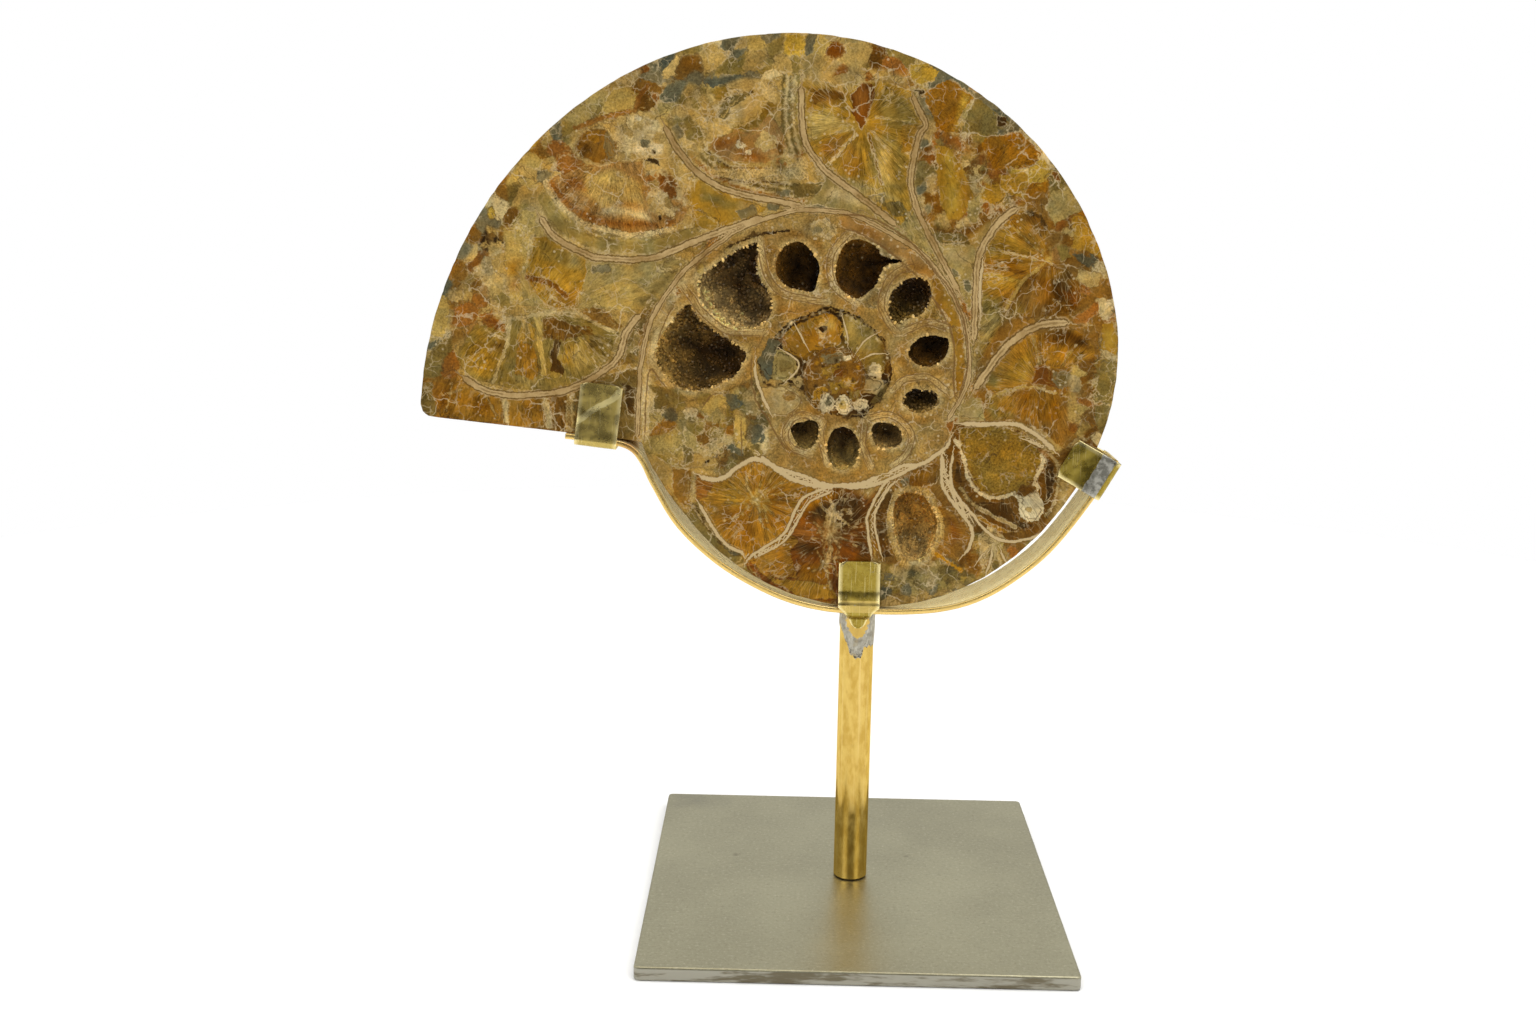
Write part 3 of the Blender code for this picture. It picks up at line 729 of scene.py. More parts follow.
def strap_paths():
    """Each clip's path: rows of (distance inward, y, width)."""
    half = STRAP_THICKNESS / 2
    in_front = -(CRADLE_DEPTH / 2 + FIT_GAP + half)  # past the cradle's front edge
    behind = -in_front
    on_face = FACE_Y - FIT_GAP - half
    under = -(FIT_GAP + half)  # below the cradle's outer side
    on_post = POST_RADIUS + 0.2 * MM + FIT_GAP + half
    full, eased = STRAP_WIDTH, STRAP_WIDTH - 2.4 * MM

    def front_tab(reach, fold, slope):
        """From the tab's tip to the cradle's front edge, folding forward at this distance from the seat."""
        return [(reach, on_face, full), (fold + slope, on_face, full), (fold, in_front, full)]

    def tongue(y_on_post, y_at_cradle):
        """Past the cradle's edge and down the post, narrowing in two hollow curves to a rounded tip."""
        over_edge = ((2.2, 12), (1.6, 10.8), (1, 9.2), (-0.2, 7))
        rows = [(depth * MM, y_at_cradle, width * MM) for depth, width in over_edge]
        for depth, width in ((1.5, 5.6), (2.4, 4.9), (3.3, 4.2), (4.0, 3.2), (4.5, 1.8)):
            rows.append((-depth * MM, y_on_post, width * MM))
        return rows

    left_back = 21.8 * MM
    left = front_tab(16.8 * MM, 2 * MM, 6 * MM)
    left += [(under, in_front, full), (under, left_back, full), (12 * MM, left_back, full)]
    right = front_tab(13.2 * MM, 2 * MM, 5 * MM) + [(under, in_front, full)]
    right += [(under, behind, full), (7 * MM, behind, full), (14 * MM, 7.5 * MM, eased)]
    centre = front_tab(15.6 * MM, 3.2 * MM, 2.4 * MM) + tongue(-on_post, in_front)
    back = [(15 * MM, 7.7 * MM, eased), (6 * MM, behind, full)]
    return left, right, centre, back + tongue(on_post, behind)


def make_clips():
    brass = make_clip_brass()
    left, right, centre, back = strap_paths()
    post_top, level = Vector((POST_X, PLATE_TOP + 84.3 * MM)), Vector((1, 0))
    make_strap("clip_front", "clip_centre_front", post_top, level, centre, brass, False, 0.4)
    make_strap("clip_rear", "clip_centre_back", post_top, level, back, brass, False, 2.0)
    sides = [
        ("clip_at_left", "clip_left", LEFT_CLIP_STATION, left, 1.1, (0, 0)),
        ("clip_at_right", "clip_right", RIGHT_CLIP_STATION, right, 2.9, (0.6 * MM, 4.6 * MM)),
    ]
    for name, node, station, path, phase, solder in sides:
        before, after = on_route(station - 0.1), on_route(station + 0.1)
        along = (after - before).normalized()
        seat = (before + after) / 2 - Vector((-along.y, along.x)) * CRADLE_THICKNESS / 2
        make_strap(name, node, seat, along, path, brass, True, phase, solder)


make_clips()


# ---------------------------------------------------------------- fossil
# Half of a coiled ammonite, sawn through its middle plane and polished: fans of amber calcite, agate
# bands and broken shell in mud, with some inner chambers still hollow and lined with druse. The back
# is the ribbed shell. It rests in the cradle and the clips' tabs hold it.

COIL_CENTRE = (-10.0, 154.0)
RIM_RADII = [  # (angle turned, radius): anticlockwise from +X, winding in from the sawn end
    (-900, 8.5), (-720, 16.5), (-540, 20.5), (-450, 31.7), (-360, 39.4), (-270, 45.0), (-180, 52.0),
    (-160, 56.6), (-145, 57.2), (-135, 57.9), (-120, 60.5), (-90, 66.9), (-60, 73.0), (-30, 76.8),
    (0, 80.3), (30, 81.8), (60, 85.1), (90, 90.6), (120, 96.9), (150, 104.3), (186, 116.2), (210, 126.0),
]
INNERMOST_ANGLE = -540
FIRST_ANGLE = -158.5
LAST_ANGLE = 185.5
SAWN_CORNER = [(-125.0, 140.9), (-123.6, 139.7)]
SAWN_END = [(-121.0, 139.3), (-67.5, 133.95)]
CURVE_STEPS = 4  # between two points of a curve
RIM_SPACING = 1.0
FACE_SPACING = 0.61
SHARP_REACH = 0.9
FAR = 9.0  # what a point holds when no edge or line is near
UMBILICUS_SHARE = 0.28
FLANK_THICKNESS_SHARE = 0.22
RIM_THICKNESS = 1.2

# Outlines of the crystal-lined hollows in the sawn face, each with its depth, the way its lit side
# lies (across, up), how strongly that side is painted paler as painted light, and the colours of its
# painted-lit side and of its depths, the druse's own dark colour deepened as painted shade.
HOLLOWS = [
    ("-49.5,172.5 -52,170.8 -54.5,167.5 -57,164 -58.8,160 -58.8,156.5 -57,153 -54.5,150.3 -51,148.3 "
     "-47,148 -43.5,149 -40,150.3 -36.5,152.6 -34.5,155.5 -33.4,159 -36,161.5 -39,163.3 -43,165.8 "
     "-46.5,168.6 -48.4,171.3",
     9.0, (-1.0, -0.35), 1.0, "tan", "umber"),
    ("-30.5,189.6 -35,188.2 -39,186 -43,183 -46.5,180 -47.3,176.5 -46,172.5 -43,169.2 -39,166.4 "
     "-35,165.2 -31,166 -27.5,168.5 -26.2,172.5 -27.4,176.5 -30,180.3 -30.6,185",
     8.0, (-0.6, -0.7), 1.0, "cream", "umber"),
    ("-20,190 -17.5,189.4 -15,186.6 -13.5,183.6 -13.8,180 -15,176.6 -18,176.6 -21.5,177.4 -24,179 "
     "-25.5,181.5 -25.6,184.6 -24.5,187.4 -22.5,189.2",
     7.5, (-1, 0.1), 0.9, "oak", "soot"),
    ("-4,191 -1,190.6 2.6,188.8 3.8,186.6 9.6,185.3 5.2,184 3.6,181.8 2.6,179 0.4,176.8 -2.2,174.9 "
     "-4.4,174.8 -6.6,176.6 -8.6,179.4 -9,182.6 -8.3,186.4 -6.6,189.6",
     7.5, (-0.8, 0.3), 0.9, "oak", "umber"),
    ("14,181 11,180.4 8.5,178.8 6.4,176.2 5.8,173 6.2,170.2 7.6,168 9.6,168 11.4,169.4 14.4,170.3 "
     "16.6,172.4 17.8,175.4 17.2,178.6 15.8,180.6",
     6.5, (-0.4, -1), 0.9, "mud", "umber"),
    ("18,165 21,164.6 22.9,164 23,161 21.6,158.2 19.4,156.6 16.5,156.1 13.6,157.2 11.9,159.3 12.6,162 "
     "14.8,164.2",
     6.0, (0, -1), 0.85, "oak", "soot"),
    ("14,150 12,148.6 10.6,147 11.2,145 13.2,143.4 16,143 19,144 21.1,146.2 20.6,148.2 18.6,149.6 "
     "16.4,149.5",
     5.5, (0, -1), 0.9, "tan", "soot"),
    ("4.8,140.3 8,139.7 10.4,138 11,135 9.6,133.3 6.6,132.7 4,133.2 2.8,135 2.2,137.6 2.9,139.6",
     5.5, (0, -1), 1.0, "sugar", "umber"),
    ("-5.5,138.7 -3,137.4 -1.2,134.5 -1.2,131 -2.4,127.6 -5,126.3 -8,127 -9.8,130 -10.2,133.4 -9.3,136.4 "
     "-7.8,138.2",
     4.5, (0, -1), 1.0, "pale", "umber"),
    ("-15,140.6 -13,139.5 -12.6,136.5 -13.6,133.5 -16,132 -18.4,133 -19.8,135.6 -20.6,138 -18.8,139.7 "
     "-17,139.8",
     4.0, (0.2, -1), 1.0, "pale", "umber"),
    ("10.5,119 13,120 17.5,119.3 20,116 21.8,112 21.5,108 20,104.5 18,101 14,100.5 11.5,103 10,107 "
     "9.3,112 9.3,116",
     6.0, (-0.3, -1), 1.0, "sugar", "oak"),
]

STONE_COLOURS = {
    "chalk": (214, 190, 138), "cream": (190, 163, 105), "sugar": (176, 146, 86), "tan": (162, 130, 66),
    "straw": (178, 146, 72), "pale": (156, 132, 72), "olive": (130, 105, 44), "moss": (106, 87, 42),
    "yellow": (174, 138, 48), "gold": (160, 118, 34), "honey": (150, 104, 28), "amber": (142, 92, 16),
    "brown": (106, 68, 16), "oak": (130, 90, 31), "dark": (66, 42, 11), "umber": (44, 28, 8),
    "soot": (20, 12, 3), "rust": (136, 84, 28), "ember": (110, 62, 13), "rose": (154, 112, 54),
    "flesh": (182, 148, 80), "grey": (116, 103, 68), "slate": (92, 86, 60), "mud": (124, 101, 46),
    "ochre": (176, 122, 23), "sand": (132, 99, 31),
}


def stone_colour(name):
    return np.array(STONE_COLOURS[name], float)


def smooth_line(points, closed=False):
    """A curve through points, with short straight steps between each two."""
    held = spots(points)
    count = len(held)
    if closed:
        padded = np.concatenate([held[-1:], held, held[:2]])
    else:
        padded = np.concatenate([2 * held[:1] - held[1:2], held, 2 * held[-1:] - held[-2:-1]])
        count -= 1
    made = []
    for i in range(count):
        p0, p1, p2, p3 = padded[i:i + 4]
        for t in np.arange(CURVE_STEPS) / CURVE_STEPS:
            made.append(0.5 * (2 * p1 + (p2 - p0) * t + (2 * p0 - 5 * p1 + 4 * p2 - p3) * t ** 2
                               + (3 * p1 - p0 - 3 * p2 + p3) * t ** 3))
    if not closed:
        made.append(held[-1])
    return np.array(made)


def evenly(points, spacing, closed=False):
    """The line through points, cut again into equal steps of about this spacing."""
    line = np.concatenate([points, points[:1]]) if closed else np.asarray(points)
    lengths = np.concatenate([[0], np.cumsum(np.hypot(*np.diff(line, axis=0).T))])
    count = max(3, round(lengths[-1] / spacing))
    at = np.linspace(0, lengths[-1], count + 1)
    even = np.stack([np.interp(at, lengths, line[:, k]) for k in (0, 1)], 1)
    return even[:-1] if closed else even


def patches(across, up, size, seed):
    """Smooth random values from -1 to 1, in patches of about this size."""
    u, v = across / size, up / size
    i, j = np.floor(u).astype(np.int64), np.floor(v).astype(np.int64)
    fu, fv = u - i, v - j
    fu, fv = fu * fu * (3 - 2 * fu), fv * fv * (3 - 2 * fv)

    def corner(a, b):
        mixed = (a * 374761393 + b * 668265263 + seed * 974634777) & 0xFFFFFFFF
        mixed = ((mixed ^ (mixed >> 13)) * 1274126177) & 0xFFFFFFFF
        return ((mixed ^ (mixed >> 16)) & 0xFFFF) / 32767.5 - 1

    low = corner(i, j) * (1 - fu) + corner(i + 1, j) * fu
    high = corner(i, j + 1) * (1 - fu) + corner(i + 1, j + 1) * fu
    return low * (1 - fv) + high * fv


def spots(text):
    """Places (across, up) in mm, written "x,z x,z". A line's name stands for it, -name for it backwards."""
    if not isinstance(text, str):
        return np.array(text, float)
    places = []
    for word in text.split():
        if "," in word:
            places.append([float(v) for v in word.split(",")])
        else:
            line = spots(LINES[word.strip("-")]).tolist()
            places += line[::-1] if word[0] == "-" else line
    return np.array(places)


def to_line(across, up, line, closed=False, signed=False):
    """Distance from each place to the line, with a sign for the side that it is on if signed."""
    nearest, side = np.full(len(across), 1e9), np.ones(len(across))
    ends = list(zip(line[:-1], line[1:]))
    if closed:
        ends.append((line[-1], line[0]))
    for (ax, ay), (bx, by) in ends:
        ex, ey = bx - ax, by - ay
        px, py = across - ax, up - ay
        t = np.clip((px * ex + py * ey) / max(ex * ex + ey * ey, 1e-9), 0, 1)
        away = np.hypot(px - t * ex, py - t * ey)
        if signed:
            side = np.where(away < nearest, np.where(ex * py - ey * px > 0, 1, -1), side)
        nearest = np.minimum(nearest, away)
    return nearest * side if signed else nearest


def is_inside(across, up, outline):
    inside = np.zeros(len(across), bool)
    for (ax, ay), (bx, by) in zip(outline, np.roll(outline, -1, axis=0)):
        if ay != by:
            inside ^= ((ay > up) != (by > up)) & (across < (bx - ax) * (up - ay) / (by - ay) + ax)
    return inside


def depth_inside(across, up, outline):
    """Distance inward from the outline, below 0 outside it."""
    return to_line(across, up, outline, True) * np.where(is_inside(across, up, outline), 1, -1)


def rim_radius(angle):
    """The coil's radius at this angle, which winds on past a full turn."""
    return smooth_value(RIM_RADII, angle)


def flank_height(radius, angle):
    """How far the shell's outside stands behind the sawn face, at this place in the coil."""
    rim = rim_radius(angle)
    while radius < UMBILICUS_SHARE * rim and angle > INNERMOST_ANGLE:
        angle -= 360
        rim = rim_radius(angle)
    inner = UMBILICUS_SHARE * rim
    share = min(max((radius - inner) / (rim - inner), 0), 1)
    shoulder = min(share / 0.17, 1)
    shoulder = shoulder * shoulder * (3 - 2 * shoulder)
    fall = max(0, (share - 0.1) / 0.9) ** 2.4
    return RIM_THICKNESS + FLANK_THICKNESS_SHARE * rim * (0.55 + 0.45 * shoulder) * math.sqrt(1 - fall), share


def face_outline():
    """The sawn face's outline (across, up), its edge a little chipped."""
    angles = np.linspace(FIRST_ANGLE, LAST_ANGLE, 900)
    turns = np.radians(angles)
    radii = np.array([rim_radius(a) for a in angles])
    rim = np.stack([COIL_CENTRE[0] + radii * np.cos(turns), COIL_CENTRE[1] + radii * np.sin(turns)], 1)
    sawn = np.array(SAWN_CORNER + [tuple(p) for p in np.linspace(*SAWN_END, 30)])
    whole = evenly(np.concatenate([rim, sawn]), RIM_SPACING, closed=True)
    inward = np.array(COIL_CENTRE) - whole
    inward /= np.hypot(*inward.T)[:, None]
    chips = 0.1 + 0.1 * patches(*whole.T, 3.0, 5) + 0.18 * np.maximum(0, patches(*whole.T, 1.4, 6) - 0.35)
    return whole + inward * chips[:, None]


class SawnFace:
    """The colour and grain of the stone at each point of its face, laid on in order, ground first.

    Where two colours meet sharply, a point holds both, and how far it is past the edge between them.
    """

    def __init__(self, across, up):
        self.x, self.z = across, up
        count = len(across)
        self.wander_x = across + 0.4 * patches(across, up, 3.1, 1) + 0.2 * patches(across, up, 1.2, 2)
        self.wander_z = up + 0.4 * patches(across, up, 2.9, 3) + 0.2 * patches(across, up, 1.1, 4)
        self.under = np.tile(stone_colour("tan"), (count, 1))
        self.over = self.under.copy()
        self.edge = np.full(count, -FAR)
        self.fan = np.zeros((count, 3))
        self.streak = np.zeros(count)
        self.grit = np.full(count, 0.3)
        self.wall, self.seam, self.vein, self.growth = (np.full(count, FAR) for _ in range(4))

    def near(self, points, margin):
        """Which points of the face lie in the box round these points, with a margin."""
        low, high = points.min(0) - margin, points.max(0) + margin
        return np.nonzero((self.x > low[0]) & (self.x < high[0]) & (self.z > low[1]) & (self.z < high[1]))[0]

    def shown(self, where):
        """The colour that is seen at these points."""
        return np.where(self.edge[where][:, None] > 0, self.over[where], self.under[where])

    def hold(self, where, under, over, edge):
        self.under[where], self.over[where], self.edge[where] = under, over, edge

    def roughen(self, where, share, grit):
        if grit is not None:
            self.grit[where] = self.grit[where] * (1 - share) + grit * share

    def lay(self, where, share, colour, grit=None):
        """Tints the stone softly."""
        share = np.clip(share, 0, 1)
        for layer in (self.under, self.over):
            layer[where] = layer[where] * (1 - share)[:, None] + stone_colour(colour) * share[:, None]
        self.roughen(where, share, grit)

    def cut(self, where, depth, share, colour, grit=None):
        """Lays stone of another colour with a sharp edge. depth is how far inside its edge a point is."""
        shown = self.shown(where)
        laid = shown * (1 - share) + stone_colour(colour) * share
        kept_edge = np.abs(self.edge[where])
        border = (np.abs(depth) < SHARP_REACH) & ((depth > 0) | (kept_edge > -depth))
        self.hold(where[border], shown[border], laid[border], depth[border])
        inner = depth >= SHARP_REACH
        if share > 0.85:
            self.hold(where[inner], laid[inner], laid[inner], FAR)
        else:
            self.lay(where[inner], np.full(inner.sum(), share), colour)
        outer = (depth <= -SHARP_REACH) & (depth > -2 * SHARP_REACH) & (kept_edge >= SHARP_REACH)
        self.hold(where[outer], shown[outer], shown[outer], -FAR)
        self.roughen(where, np.clip(0.5 + depth / 0.6, 0, 1) * share, grit)

    def paint(self, where, depth, edge, share, colour, grit):
        """Cuts a sharp edge or lays a soft one."""
        if edge <= 0.5:
            self.cut(where, depth, share, colour, grit)
        else:
            self.lay(where, share * (0.5 + depth / (2 * edge)), colour, grit)

    def block(self, colour, outline, edge, share, grit=None):
        """A piece with this outline. edge is how softly it ends."""
        where = self.near(outline, 2 + 2 * edge)
        depth = depth_inside(self.wander_x[where], self.wander_z[where], outline)
        self.paint(where, depth, edge, share, colour, grit)

    def oval(self, colour, x, z, wide, high, turn=0, edge=0.5, share=1.0, grit=None):
        """A patch this wide and high. edge is how softly it ends, as a share of its size."""
        where = self.near(np.array([[x, z]], float), max(wide, high) * (0.6 + edge) + 2)
        c, s = math.cos(math.radians(turn)), math.sin(math.radians(turn))
        dx, dz = self.wander_x[where] - x, self.wander_z[where] - z
        out = np.hypot((dx * c + dz * s) / (wide / 2), (dz * c - dx * s) / (high / 2))
        if edge < 0.45:
            self.cut(where, (1 - out) * min(wide, high) / 2, share, colour, grit)
        else:
            self.lay(where, share * (0.5 + (1 - out) / (2 * edge)), colour, grit)

    def band(self, colour, width, points, edge=0.3, share=1.0, grit=None):
        """A strip of this width along a line."""
        line = smooth_line(points)
        where = self.near(line, width + 2 + edge)
        away = to_line(self.wander_x[where] * 0.5 + self.x[where] * 0.5,
                       self.wander_z[where] * 0.5 + self.z[where] * 0.5, line)
        self.paint(where, width / 2 - away, edge, share, colour, grit)

    def within(self, outline):
        where = self.near(outline, 0)
        return where[is_inside(self.x[where], self.z[where], outline)]

    def crystals(self, outline, focus, streak, reach):
        """Crystals inside outline that spread from a focus. reach is how many stand round it, over 6."""
        where = self.within(outline)
        dx, dz = self.x[where] - focus[0], self.z[where] - focus[1]
        out = np.hypot(dx, dz) + 0.01
        self.fan[where] = np.stack([reach * dx / out, reach * dz / out, out / 9.0], 1)
        self.streak[where] = streak * np.clip(out / 4, 0.2, 1)

    def star(self, colour, rays, reach, x, z):
        """Thin crystals of uneven length that spread from a point."""
        draw = np.random.default_rng(rays)
        for k in range(rays):
            way, end = 2 * math.pi * (k + draw.uniform(-0.3, 0.3)) / rays, reach * draw.uniform(0.3, 1)
            line = [(x + out * math.cos(turn), z + out * math.sin(turn))
                    for out, turn in ((0, 0), (end / 2, way + 0.12), (end, way))]
            self.band(colour, draw.uniform(0.25, 0.6), line, 0.3, draw.uniform(0.4, 0.85))

    def septum(self, line):
        """A wall between two small chambers: a cream strip with a thin brown line at each side."""
        self.band("cream", 2.2, line, 0.5, 0.85, 0.4)
        middle = smooth_line(line)
        run = np.gradient(middle, axis=0)
        side = 0.85 * np.stack([-run[:, 1], run[:, 0]], 1) / np.hypot(*run.T)[:, None]
        for shift in (side, -side):
            self.mark_line("vein", smooth_line((middle + shift)[::4]), 0.21)

    def draw(self, text):
        """Lays what the text lists, row by row. A heading gives how softly and how strongly the rows
        under it are laid, and for bands the width first. A row is a colour and its outline or line."""
        kind, numbers, last, named, filler = "", [], None, [], []
        for row in re.sub(r"\n(?=[-\d])", " ", text.strip()).split("\n"):
            word, *rest = row.split()
            if word in ("pieces", "bands", "ovals"):
                kind, numbers = word, [float(v) for v in rest]
            elif word == "with":
                for name in rest:
                    if "," in name:
                        named.append((colour, *spots(name)[0]))
                    else:
                        colour = name
            elif word == "of":
                filler = rest
            elif word == "rubble":
                size, seed, vein, share, *places = rest
                last = spots(" ".join(places))
                self.rubble(last, named, filler, float(size), int(seed), vein, float(share))
                named = []
            elif word == "fan":
                streak, reach, focus, *places = rest
                last = spots(" ".join(places)) if places else last
                self.crystals(last, spots(focus)[0], float(streak), float(reach))
            elif word == "cloud":
                where = self.within(last)
                cloud = 0.5 + 0.5 * patches(self.x[where], self.z[where], float(rest[2]), int(rest[3]))
                self.lay(where, float(rest[1]) * cloud ** 2, rest[0])
            elif word == "star":
                self.star(rest[0], int(rest[1]), float(rest[2]), *spots(rest[3])[0])
            elif word == "septum":
                self.septum(" ".join(rest))
            elif word in ("wall", "seam", "vein"):
                self.mark_line(word, smooth_line(" ".join(rest[1:])), float(rest[0]) / 2)
            elif kind == "pieces":
                last = spots(" ".join(rest))
                self.block(word, last, *numbers)
            elif kind == "bands":
                self.band(word, numbers[0], " ".join(rest), *numbers[1:])
            else:
                (x, z), (wide, high) = spots(" ".join(rest[:2]))
                self.oval(word, x, z, wide, high, float(rest[2]) if rest[2:] else 0, *numbers)

    def mark_line(self, name, line, half):
        """Keeps each point's distance from the line, which thins out over its last few millimetres."""
        where = self.near(line, 9)
        wave_x = self.x[where] + 0.16 * patches(self.x[where], self.z[where], 2.0, 11)
        wave_z = self.z[where] + 0.16 * patches(self.x[where], self.z[where], 2.0, 12)
        away = to_line(wave_x, wave_z, line, signed=True)
        here = np.stack([wave_x, wave_z], 1)
        to_end = np.minimum(np.hypot(*(line[0] - here).T), np.hypot(*(line[-1] - here).T))
        thinned = 2.2 * np.clip(1 - to_end / 2.5, 0, 1)
        marks = getattr(self, name)
        found = away / half + np.sign(away) * thinned
        marks[where] = np.where(np.abs(found) < np.abs(marks[where]), found, marks[where])
        self.growth[where] = np.minimum(self.growth[where], np.abs(away))

    def rubble(self, outline, pieces, filler, size, seed, vein, share):
        """Broken pieces packed inside outline: the named (colour, x, z) ones and filler between them."""
        where = self.near(outline, 1)
        x = 0.6 * self.x[where] + 0.4 * self.wander_x[where]
        z = 0.6 * self.z[where] + 0.4 * self.wander_z[where]
        depth = depth_inside(x, z, outline)
        keep = depth > -0.4
        where, x, z, depth = where[keep], x[keep], z[keep], depth[keep]
        draw = np.random.default_rng(seed)
        low, high = outline.min(0), outline.max(0)
        columns, rows = np.arange(low[0], high[0], size), np.arange(low[1], high[1], size)
        grid = np.stack(np.meshgrid(columns, rows), -1).reshape(-1, 2)
        grid += draw.uniform(-0.48, 0.48, grid.shape) * size
        grid = grid[is_inside(grid[:, 0], grid[:, 1], outline)]
        places = np.array([(px, pz) for _, px, pz in pieces], float).reshape(-1, 2)
        if len(places):
            apart = np.hypot(*(grid[:, None] - places[None]).transpose(2, 0, 1)).min(1)
            grid = grid[apart > size * 0.8]
        colours = [STONE_COLOURS[name] for name, _, _ in pieces]
        colours += [STONE_COLOURS[filler[k]] for k in draw.integers(0, len(filler), len(grid))]
        seeds, colours = np.concatenate([places, grid]), np.array(colours, float)
        shade = 1 + draw.uniform(-0.13, 0.13, len(seeds))
        first, second = np.full(len(x), 1e9), np.full(len(x), 1e9)
        nearest, other = np.zeros(len(x), int), np.zeros(len(x), int)
        turn, stretch = draw.uniform(0, math.pi, len(seeds)), draw.uniform(1.0, 1.7, len(seeds))
        weight = draw.uniform(0.75, 1.3, len(seeds))
        for k, (sx, sz) in enumerate(seeds):
            c, s = math.cos(turn[k]), math.sin(turn[k])
            along, aside = (x - sx) * c + (z - sz) * s, (z - sz) * c - (x - sx) * s
            away = np.hypot(along / stretch[k], aside * stretch[k]) * weight[k]
            closer, between = away < first, (away >= first) & (away < second)
            other = np.where(closer, nearest, np.where(between, k, other))
            second = np.where(closer, first, np.where(between, away, second))
            nearest = np.where(closer, k, nearest)
            first = np.where(closer, away, first)
        cover = np.clip(0.5 + depth / 0.8, 0, 1)[:, None] * share
        colours *= shade[:, None]
        border = (second - first) / 2
        alone = border > 0.55
        low_side, high_side = np.minimum(nearest, other), np.maximum(nearest, other)
        under = colours[np.where(alone, nearest, low_side)]
        over = colours[np.where(alone, nearest, high_side)]
        shown = self.shown(where)
        self.hold(where, shown * (1 - cover) + under * cover, shown * (1 - cover) + over * cover,
                  np.where(nearest > other, 1, -1) * border)
        patchy = 0.5 + 0.5 * patches(self.x[where], self.z[where], 5.0, seed + 1)
        self.lay(where, cover[:, 0] * 0.7 * patchy ** 2 * np.clip(1.3 - border / 0.28, 0, 1), vein)
        self.streak[where] *= 1 - cover[:, 0]
        self.roughen(where, cover[:, 0], 0.55)


# Walls between the chambers of the outer whorl, from the living chamber back into the coil, and other
# lines of the coil.
LINES = {
    "w1": "-114.5,152 -109,148 -104,146.5 -98,146 -87,147 -82,148.5 -77,151 -72,154.5 -69,158 "
    "-67,164.5 -62,170.5",
    "w2": "-91.5,197 -87.5,191 -82,187.5 -76,185 -70,184.5 -64,184.5 -58,185.5 -52,188 -38,193.5 -28,197",
    "w3": "-57,222 -54.5,217 -51,212 -46.5,207.5 -40,204 -32,202 -17,199.5",
    "w4": "-19.5,233 -19,221 -17.5,216 -14,211 -10,207.5 0,200.5 8.5,194",
    "w5": "10,231 13.5,224 14.5,221.5 12.5,218 11,209 11.5,204 14.5,196 26,176",
    "w6": "42,200.5 38.5,199 35,195.5 32,191 30.5,187 30,182 30,162",
    "w7": "57.5,169 53,169 47.5,168 43,165.5 38.5,161.5 34.5,156 30,148.5",
    "w8": "26,140.5 33,140 42,140.5 46,139 50,136.5 55,132",
    "w9": "22.5,133 22.5,125 24,120 30.5,112 32,108.5 31.5,105 29,101",
    "w9b": "25.5,133 25,125 26.5,120.5 30,116 37,108.5 42,106.5 47,107 51,108.5 55,112",
    "w10": "9,125 5.5,121 2,113.5 2,109 3.5,100",
    "w10b": "11,124 7.5,121 4,113.5 4.5,108 6.5,100.5",
    "w11": "-6,122 -10,121 -14,119.5 -17.5,117 -21,109 -24,105.5 -31.5,100.5 -33,98",
    "w12": "-47.5,124.5 -44,123 -39.5,123.5 -32.5,128.5 -28,128.5 -22,124.5 -17,122.5 -12,121.5 "
    "0,122.5 6,125.5",
    "w12e": "6,125 12,128 17,128.5 22.5,132.5",
    "wL": "-47,117 -41,106.5 -37,103 -34,101.5 -33,99",
    "whorl": "-64,133 -63.5,150 arch",
    "arch": "-62.5,158 -61,165 -58.5,171 -54.5,177 -49.5,183 -42,189 -36,193 -29,196 -20,198.5 -10,198.5 "
    "-3,197 9,191 15,187 20,181.5 24,175.5 27,169 28.5,162 29,155 28,149.5 23,140",
    "floor": "-30,131 -25,127 -17,124.5 -10,122 0,121.5 8,124 22,132 25,137",
}


def lay_ground(face):
    """The rim's rubble: pieces of shell and crystal in cream mud."""
    face.draw("""
with grey -123,144 -112,186.5 -106,194.5 -97,206.5 -60,234 -17,244 31,228 38,222 66,172 66,156.5
with mud -122,152 -119,158 -75,226 -46,222 -27,241 10,241 67,151 pale -121,163 -118,171 -79,223 26,226
with slate -122,160 -117.5,175 -84,220.5 -56,237.5 -53,229 -38,241.5 -40,232 20,234 35,224.5 60,187
with oak -114,181 -110,190 -100,204 -50,237 6,233 66,177 66,144 yellow -104,197 -90,214 -22,243 40,209
with rust -88,213 -62,235 5,237 64.5,170 tan -86,219 -44,239 -6,240 28,221.5 cream -103,199 61,183
with flesh -55,235.5 -37,241.5 53,203 straw -43,228 -14,242 12,236.5 69,148 olive -37.5,236.5 30,225
with ember -10,241 brown 1,239 64,141 amber 46,206 57,196 chalk 65,174
of tan mud pale oak cream grey rust straw sugar olive
rubble 5.2 21 cream 1 -130,80 80,80 80,255 -130,255
""")


